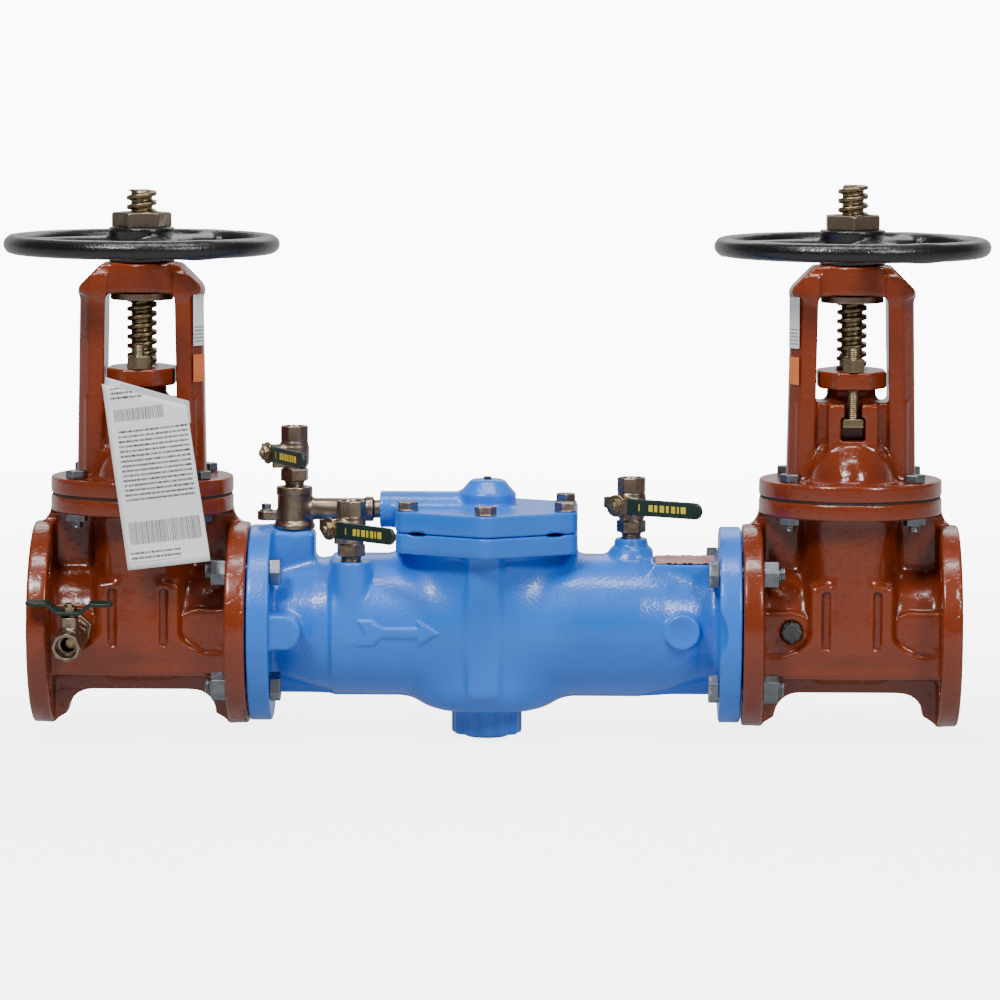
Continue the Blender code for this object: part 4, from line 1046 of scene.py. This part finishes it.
class PREVENTER_OT_fasteners(Operator):
    """Make all bolts, plugs and nuts that hold the castings"""

    bl_idname = "preventer.fasteners"
    bl_label = "Make fasteners"

    def execute(self, context):
        size = context.scene.preventer.fine_step
        thin = context.scene.preventer.merging
        bolt = solid(
            "flange_bolt", (-42, -15, -15), (32, 15, 15), size, flange_bolt_shape, thin
        )
        for side, x, facing in (("inlet", 204.8, 0), ("outlet", 665.2, 180)):
            for quarter in range(4):
                angle = math.pi / 4 + quarter * math.pi / 2
                at = (x, BOLT_RADIUS * math.cos(angle), BOLT_RADIUS * math.sin(angle))
                twist = Matrix.Rotation(0.5 * quarter * quarter, 4, "X")
                name = side + "_flange_bolt_" + str(quarter + 1)
                place(name + "_steel", bolt, "zinc_plate", "frame", [name], at,
                      turn_z(facing) @ twist, "zinc_steel")
        upper = solid("bonnet_bolt", (-11, -11, 92), (11, 11, 149), size, bonnet_bolt_shape, thin)
        gland = solid("gland_bolt", (-12, -12, 188), (12, 12, 266), size, gland_bolt_shape, thin)
        for side, x in SIDES:
            for i, (bx, by) in enumerate(BONNET_BOLTS):
                place(f"{side}_bonnet_bolt_{i + 1}", upper, "zinc_plate", "frame", (),
                      (x + bx, by, 0), turn_z(13 * i), "zinc_steel")
            for i, by in enumerate((-37.5, 37.5)):
                place(f"{side}_gland_bolt_{i + 1}", gland, "turned_brass", "frame", (),
                      (x, by, 0), turn_z(180 * i), "yellow_brass")
        cap = solid("cover_bolt", (-12, -12, 110), (12, 12, 121), size, cover_bolt_shape, thin)
        for i in range(6):
            angle = math.pi / 2 + TURN * i / 6
            at = (ACCESS_X + 85 * math.cos(angle), 85 * math.sin(angle), 0)
            place(f"cover_bolt_{i + 1}", cap, "rusty_zinc", "frame", (), at,
                  turn_z(17 * i), "zinc_steel")
        small = solid("small_bolt", (-7, -7, -9), (7, 7, 8), size, small_bolt_shape, thin)
        place("ear_bolt", small, "zinc_plate", "frame", (), (218.5, 0, 106), None, "zinc_steel")
        plug = solid("body_plug", (-17, -72, -17), (17, -38, 17), size, body_plug_shape, thin)
        place("outlet_square_plug", plug, "malleable_iron", "frame", ["outlet_body_plug"],
              (OUTLET_X - BOSS_X, 0, 0), None, "black_iron")

        def vent(x, y, z):
            return join(disc(x, y, z, 3.1, 126, 138), disc(x, y, z, 3.6, 137, 139.6, 0.6))

        def drain(x, y, z):
            head = disc(x, y, z, 20, -107, -84, 1.5)
            square = brick(x, y, z, (-8, -8, -110), (8, 8, -101), 1)
            return cut(head, square, 1)

        vent_mesh = solid("vent_plug", (-5, -5, 125), (5, 5, 141), size, vent, thin)
        place("vent_plug", vent_mesh, "malleable_iron", "frame", ["cover_vent_plug"],
              (ACCESS_X, 0, 0), None, "black_iron")
        drain_mesh = solid("drain_cap", (-22, -22, -109), (22, 22, -82), size * 1.5, drain, thin)
        place("drain_cap", drain_mesh, "blue_fusion_coat", "frame", ["drain_plug"],
              (ACCESS_X, 0, 0), None, "blue_epoxy")
        return {"FINISHED"}


class PREVENTER_OT_test_cocks(Operator):
    """Make the branch tee and the four test cocks with their levers"""

    bl_idname = "preventer.test_cocks"
    bl_label = "Make test cocks"

    def execute(self, context):
        size = context.scene.preventer.fine_step
        thin = context.scene.preventer.merging
        tee = solid("tee", (207, -22, 87), (341, 22, 132), size * 1.4, tee_shape, thin)
        place("tee_casting", tee, "cast_bronze", "frame", ["branch_tee"], slot="bronze")
        valve = solid("cock", (-17, -26, -10), (17, 17, 59), size, cock_shape(5), thin)
        plate = solid("lever_plate", (-16, -36, 18), (48, -18, 46), size, lever_plate_shape, thin)
        grip = solid("grip", (10, -32, 21), (98, -23, 43), size, grip_shape, thin)
        marks = solid("mark", (23, -31, 26), (82, -28, 38), size * 0.6, mark_shape)
        nut = solid("pivot_nut", (-9, -36, 23), (9, -18, 41), size * 0.8, pivot_nut_shape, thin)
        for name, (at, degrees) in COCKS.items():
            turn = turn_z(degrees)
            place(name + "_valve", valve, "cast_bronze", "frame", [name + "_body"], at, turn, "bronze")
            for ending, mesh, look, replaced, slot in (
                ("_grip", grip, "vinyl_grip", [name + "_lever"], "green_vinyl"),
                ("_strip", plate, "turned_brass", (), "zinc_steel"),
                ("_mark", marks, "yellow_mark", (), "green_vinyl"),
                ("_nut", nut, "turned_brass", (), "zinc_steel"),
            ):
                place(name + ending, mesh, look, name + "_handle", replaced, at, turn, slot)
        aim = turn_z(FIRST_COCK_YAW)
        aim = aim @ Matrix.Rotation(math.radians(FIRST_COCK_DROOP), 4, "X")
        upright = aim @ Matrix.Rotation(math.pi / 2, 4, "X") @ turn_z(180)
        seat = Vector(FIRST_COCK_AT) + aim @ Vector((0, -15, 0))
        place("cock_1_valve", valve, "cast_bronze", "frame", ["cock_1_body"], seat, upright, "bronze")
        wing = solid("wing", (-43, -10, 24), (43, 10, 40), size, wing_shape, thin)
        cap = solid("wing_nut", (-9, -9, 19), (9, 9, 38), size * 0.8, wing_nut_shape, thin)
        ball = Vector(FIRST_COCK_AT) + aim @ Vector((0, -15 - PIVOT, 0))
        place("cock_1_wings", wing, "vinyl_grip", "cock_1_handle", ["cock_1_wing_lever"], ball,
              aim, "green_vinyl")
        place("cock_1_cap", cap, "turned_brass", "cock_1_handle", (), ball, aim, "yellow_brass")

        def nipple(x, y, z):
            outside = threaded(x, z, y, *TAP_THREAD)
            bush = meet(facets(x, z, polygon(6, 24, 0.3), 1), slab(y, -4.5, 3), 1)
            sleeve = np.maximum(outside, slab(y, -7, 24))
            return cut(join(sleeve, bush, 0.6), np.hypot(x, z) - 7, 0.3)

        close = solid("nipple", (-15, -9, -15), (15, 26, 15), size, nipple, thin)
        place("cock_1_close_nipple", close, "turned_brass", "frame", ["cock_1_nipple"], FIRST_COCK_AT,
              aim, "yellow_brass")
        return {"FINISHED"}


def sheet_of(name, corners, columns, rows, bulge):
    """A thin card between four corners, in millimetres, curved a little, with a UV map.

    Corners run from the lower left, anticlockwise; bulge is how far the middle stands out."""
    low_left, low_right, high_right, high_left = (Vector(c) for c in corners)
    side, rise = low_right - low_left, high_left - low_left
    rise -= rise.project(side)
    places, across = [], []
    for j in range(rows + 1):
        v = j / rows
        for i in range(columns + 1):
            u = i / columns
            low = low_left.lerp(low_right, u)
            high = high_left.lerp(high_right, u)
            point = low.lerp(high, v)
            reach = point - low_left
            across.append((reach.dot(side) / side.dot(side), reach.dot(rise) / rise.dot(rise)))
            point.y -= bulge * math.sin(math.pi * u) * (0.4 + 0.6 * v)
            point.y += bulge * 0.5 * math.sin(2.6 * math.pi * v)
            places.append(point * 0.001)
    faces = []
    for j in range(rows):
        for i in range(columns):
            a = j * (columns + 1) + i
            faces.append((a, a + 1, a + columns + 2, a + columns + 1))
    mesh = bpy.data.meshes.new(name)
    mesh.from_pydata(places, [], faces)
    layer = mesh.uv_layers.new(name="print")
    for loop in mesh.loops:
        layer.data[loop.index].uv = across[loop.vertex_index]
    mesh.shade_smooth()
    return mesh


CARD_THICKNESS = 0.0005


class PREVENTER_OT_labels(Operator):
    """Hang the card tag and stick on the plates and labels"""

    bl_idname = "preventer.labels"
    bl_label = "Make labels"

    def execute(self, context):
        front = [(95.7, -95, 59.2), (172.4, -95, 68.5), (150.3, -93, 213), (71.7, -91, 232)]
        card = sheet_of("tag_card", front, 16, 28, 3.0)
        leaf = place("paper_tag_card", card, "tag_card", "frame", ["paper_tag"], slot="card")
        leaf.modifiers.new("card thickness", "SOLIDIFY").thickness = CARD_THICKNESS
        behind = [(78, -88, 214), (154, -88, 196), (152, -84, 216), (74, -84, 238)]
        flap = sheet_of("tag_flap", behind, 12, 10, 2.0)
        back = place("paper_tag_flap", flap, "tag_back", "frame", (), slot="card")
        back.modifiers.new("card thickness", "SOLIDIFY").thickness = CARD_THICKNESS
        for side, x, facing in (("inlet", INLET_X, 1), ("outlet", OUTLET_X, -1)):
            low, high = x + facing * 50.2, x + facing * 59.4
            y_low, y_high = -26.4, -14.0
            if facing < 0:
                low, high, y_low, y_high = high, low, y_high, y_low
            white = [(low, y_low, 263), (high, y_high, 263), (high, y_high, 311), (low, y_low, 311)]
            mesh = sheet_of("white_label", white, 2, 2, 0)
            place(side + "_white_label", mesh, "white_label", "frame", (), slot="card")
            small = [(low, y_low - 0.2, 229), (high, y_high - 0.2, 229)]
            small += [(high, y_high - 0.2, 255), (low, y_low - 0.2, 255)]
            mesh = sheet_of("orange_label", small, 2, 2, 0)
            place(side + "_orange_label", mesh, "orange_label", "frame", (), slot="card")

        def name_plate(x, y, z):
            plate = brick(x, y, z, (585, -33, 60.8), (642, 33, 61.9), 0.4)
            rows = np.abs(((y + 33) / 6) % 1 - 0.5) * 6 - 1.2
            words = np.sin(x * 0.9 + np.floor((y + 33) / 6) * 2.1) + np.sin(x * 0.37)
            relief = np.maximum(np.maximum(rows, -words), slab(x, 592, 636))
            return join(plate, np.maximum(relief, slab(z, 60.8, 62.25)), 0.2)

        plate = solid("name_plate", (583, -35, 59), (644, 35, 64), 0.5, name_plate, 0.0)
        place("name_plate_embossed", plate, "coppery_plate", "frame", ["name_plate"],
              slot="copper_plate")
        return {"FINISHED"}


def coil_mesh(low, high):
    """A round wire spring along X, in millimetres, with closed ends."""
    wire, reach, turns, steps, sides = 1.8, 17.0, 4, 36, 10
    ring = np.arange(sides) / sides * TURN
    places = []
    for i in range(turns * steps + 1):
        angle = TURN * i / steps
        x = low + wire + (high - low - 2 * wire) * i / (turns * steps)
        radius = reach + wire * np.cos(ring)
        rows = np.stack(
            [x + wire * np.sin(ring), radius * math.cos(angle), radius * math.sin(angle)], axis=1
        )
        places.extend((rows * 0.001).tolist())
    faces = [list(range(sides)), [turns * steps * sides + j for j in reversed(range(sides))]]
    for i in range(turns * steps):
        for j in range(sides):
            k = (j + 1) % sides
            low_side, high_side = i * sides, (i + 1) * sides
            faces.append([low_side + j, high_side + j, high_side + k, low_side + k])
    mesh = bpy.data.meshes.new("coil")
    mesh.from_pydata(places, [], faces)
    mesh.shade_smooth()
    return mesh


class PREVENTER_OT_inner_pieces(Operator):
    """Give the sealed inner pieces, which stay as drawn in CAD, their materials"""

    bl_idname = "preventer.inner_pieces"
    bl_label = "Finish inner pieces"

    def execute(self, context):
        looks = {
            "moulded_rubber": ["wedge", "packing", "bonnet_gasket", "flange_gasket"],
            "white_acetal": ["seat", "disc"],
            "stainless_steel": ["cage"],
            "turned_brass": ["ball_stem"],
        }
        for number, seat in CHECK_SEATS:
            centre = Vector((seat, 0, 0))
            name = f"check_{number}_spring"
            wire = place(name + "_wire", coil_mesh(23.8, 69.2), "stainless_steel", "frame", [name],
                         centre, slot="stainless")
            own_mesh(wire)
        for name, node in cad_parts.items():
            for look, endings in looks.items():
                if name == "cover_gasket" and look == "moulded_rubber" or name.endswith(tuple(endings)):
                    node.data.materials.clear()
                    node.data.materials.append(bpy.data.materials[look])
        return {"FINISHED"}


FLOOR_Z = -0.1085


class PREVENTER_OT_stage(Operator):
    """Set the floor, the soft studio light and the camera"""

    bl_idname = "preventer.stage"
    bl_label = "Set the stage"

    def execute(self, context):
        scene = context.scene
        settings = scene.preventer
        mesh = bpy.data.meshes.new("floor")
        # (distance back, height): flat under the object, then curving up into a wall
        rise = [(-9, 0.0), (-5, 0.0), (-1, 0.0), (3, 0.0), (4, 0.0), (5, 0.0), (6.2, 0.3)]
        rise += [(7.2, 1.2), (7.6, 2.6), (7.7, 5.0)]
        places = [(x, y, z + FLOOR_Z) for y, z in rise for x in (-9.0, 10.0)]
        faces = [(2 * i, 2 * i + 1, 2 * i + 3, 2 * i + 2) for i in range(len(rise) - 1)]
        mesh.from_pydata(places, [], faces)
        mesh.shade_smooth()
        mesh.materials.append(bpy.data.materials["floor"])
        floor = bpy.data.objects.new("floor", mesh)
        scene.collection.objects.link(floor)
        floor.modifiers.new("even curve", "SUBSURF").render_levels = 3
        lamps = [
            ("key", (-0.7, -2.0, 2.3), (0.8, 0.6), 64),
            ("fill", (2.2, -2.2, 1.9), (0.7, 0.8), 46),
            ("top", (0.44, -0.5, 2.4), (2.0, 0.4), 36),
            ("rim", (0.6, 2.2, 1.8), (2.4, 1.0), 18),
        ]
        centre = Vector((0.435, 0, 0.12))
        for name, at, size, power in lamps:
            data = bpy.data.lights.new(name, "AREA")
            data.shape = "RECTANGLE"
            data.size, data.size_y = size
            data.energy = power
            lamp = bpy.data.objects.new(name, data)
            lamp.location = at
            lamp.rotation_euler = (centre - Vector(at)).to_track_quat("-Z", "Y").to_euler()
            scene.collection.objects.link(lamp)
        world = bpy.data.worlds.new("studio")
        world.use_nodes = True
        sky = world.node_tree.nodes["Background"]
        sky.inputs["Color"].default_value = (0.95, 0.97, 1.0, 1)
        sky.inputs["Strength"].default_value = 0.16
        scene.world = world
        data = bpy.data.cameras.new("camera")
        data.lens = settings.lens
        data.sensor_width = 36
        camera = bpy.data.objects.new("camera", data)
        target = Vector((0.4388, 0, 0.117))
        tilt, swing = math.radians(settings.elevation), math.radians(settings.azimuth)
        away = Vector((math.sin(swing) * math.cos(tilt), -math.cos(swing) * math.cos(tilt),
                       math.sin(tilt)))
        camera.location = target + away * settings.distance
        level = (-away).to_track_quat("-Z", "Y")
        roll = Matrix.Rotation(math.radians(settings.roll), 4, "Z").to_quaternion()
        camera.rotation_euler = (level @ roll).to_euler()
        scene.collection.objects.link(camera)
        scene.camera = camera
        return {"FINISHED"}


class PreventerSettings(PropertyGroup):
    """How finely the pieces are meshed, and where the camera stands"""

    casting_step: FloatProperty(
        name="Casting step", description="Spacing of the field for castings, in mm",
        default=1.5, min=0.8, max=4.0)
    piece_step: FloatProperty(
        name="Piece step", description="Spacing of the field for stems and wheels, in mm",
        default=0.75, min=0.4, max=3.0)
    fine_step: FloatProperty(
        name="Fine step", description="Spacing of the field for bolts and cocks, in mm",
        default=0.45, min=0.25, max=2.0)
    merging: FloatProperty(
        name="Merging", description="How far flat faces are merged when a field is meshed",
        default=0.008, min=0.0, max=1.0)
    lens: FloatProperty(
        name="Lens", description="Camera lens", default=191.0, unit="CAMERA")
    distance: FloatProperty(
        name="Distance", description="Camera distance", default=5.0, unit="LENGTH")
    elevation: FloatProperty(
        name="Elevation", description="Camera height as an angle, in degrees", default=5.75)
    azimuth: FloatProperty(
        name="Azimuth", description="Camera swing round the object, in degrees", default=1.0)
    roll: FloatProperty(name="Roll", description="Camera roll, in degrees", default=0.2)


class PREVENTER_PT_panel(Panel):
    """The settings and a button for each operator"""

    bl_label = "Backflow preventer"
    bl_idname = "PREVENTER_PT_panel"
    bl_space_type = "VIEW_3D"
    bl_region_type = "UI"
    bl_category = "Backflow"

    def draw(self, context):
        for key in PreventerSettings.__annotations__:
            self.layout.prop(context.scene.preventer, key)
        for operator in OPERATORS:
            self.layout.operator(operator.bl_idname)


OPERATORS = (
    PREVENTER_OT_materials,
    PREVENTER_OT_valve_castings,
    PREVENTER_OT_valve_works,
    PREVENTER_OT_check_castings,
    PREVENTER_OT_fasteners,
    PREVENTER_OT_test_cocks,
    PREVENTER_OT_labels,
    PREVENTER_OT_inner_pieces,
    PREVENTER_OT_stage,
)
CLASSES = (PreventerSettings, *OPERATORS, PREVENTER_PT_panel)


def register():
    for each in CLASSES:
        bpy.utils.register_class(each)
    bpy.types.Scene.preventer = PointerProperty(type=PreventerSettings)


def unregister():
    del bpy.types.Scene.preventer
    for each in reversed(CLASSES):
        bpy.utils.unregister_class(each)


def main():
    register()
    bpy.ops.preventer.materials()
    bpy.ops.preventer.valve_castings()
    bpy.ops.preventer.valve_works()
    bpy.ops.preventer.check_castings()
    bpy.ops.preventer.fasteners()
    bpy.ops.preventer.test_cocks()
    bpy.ops.preventer.labels()
    bpy.ops.preventer.inner_pieces()
    bpy.ops.preventer.stage()


if __name__ == "__main__":
    main()
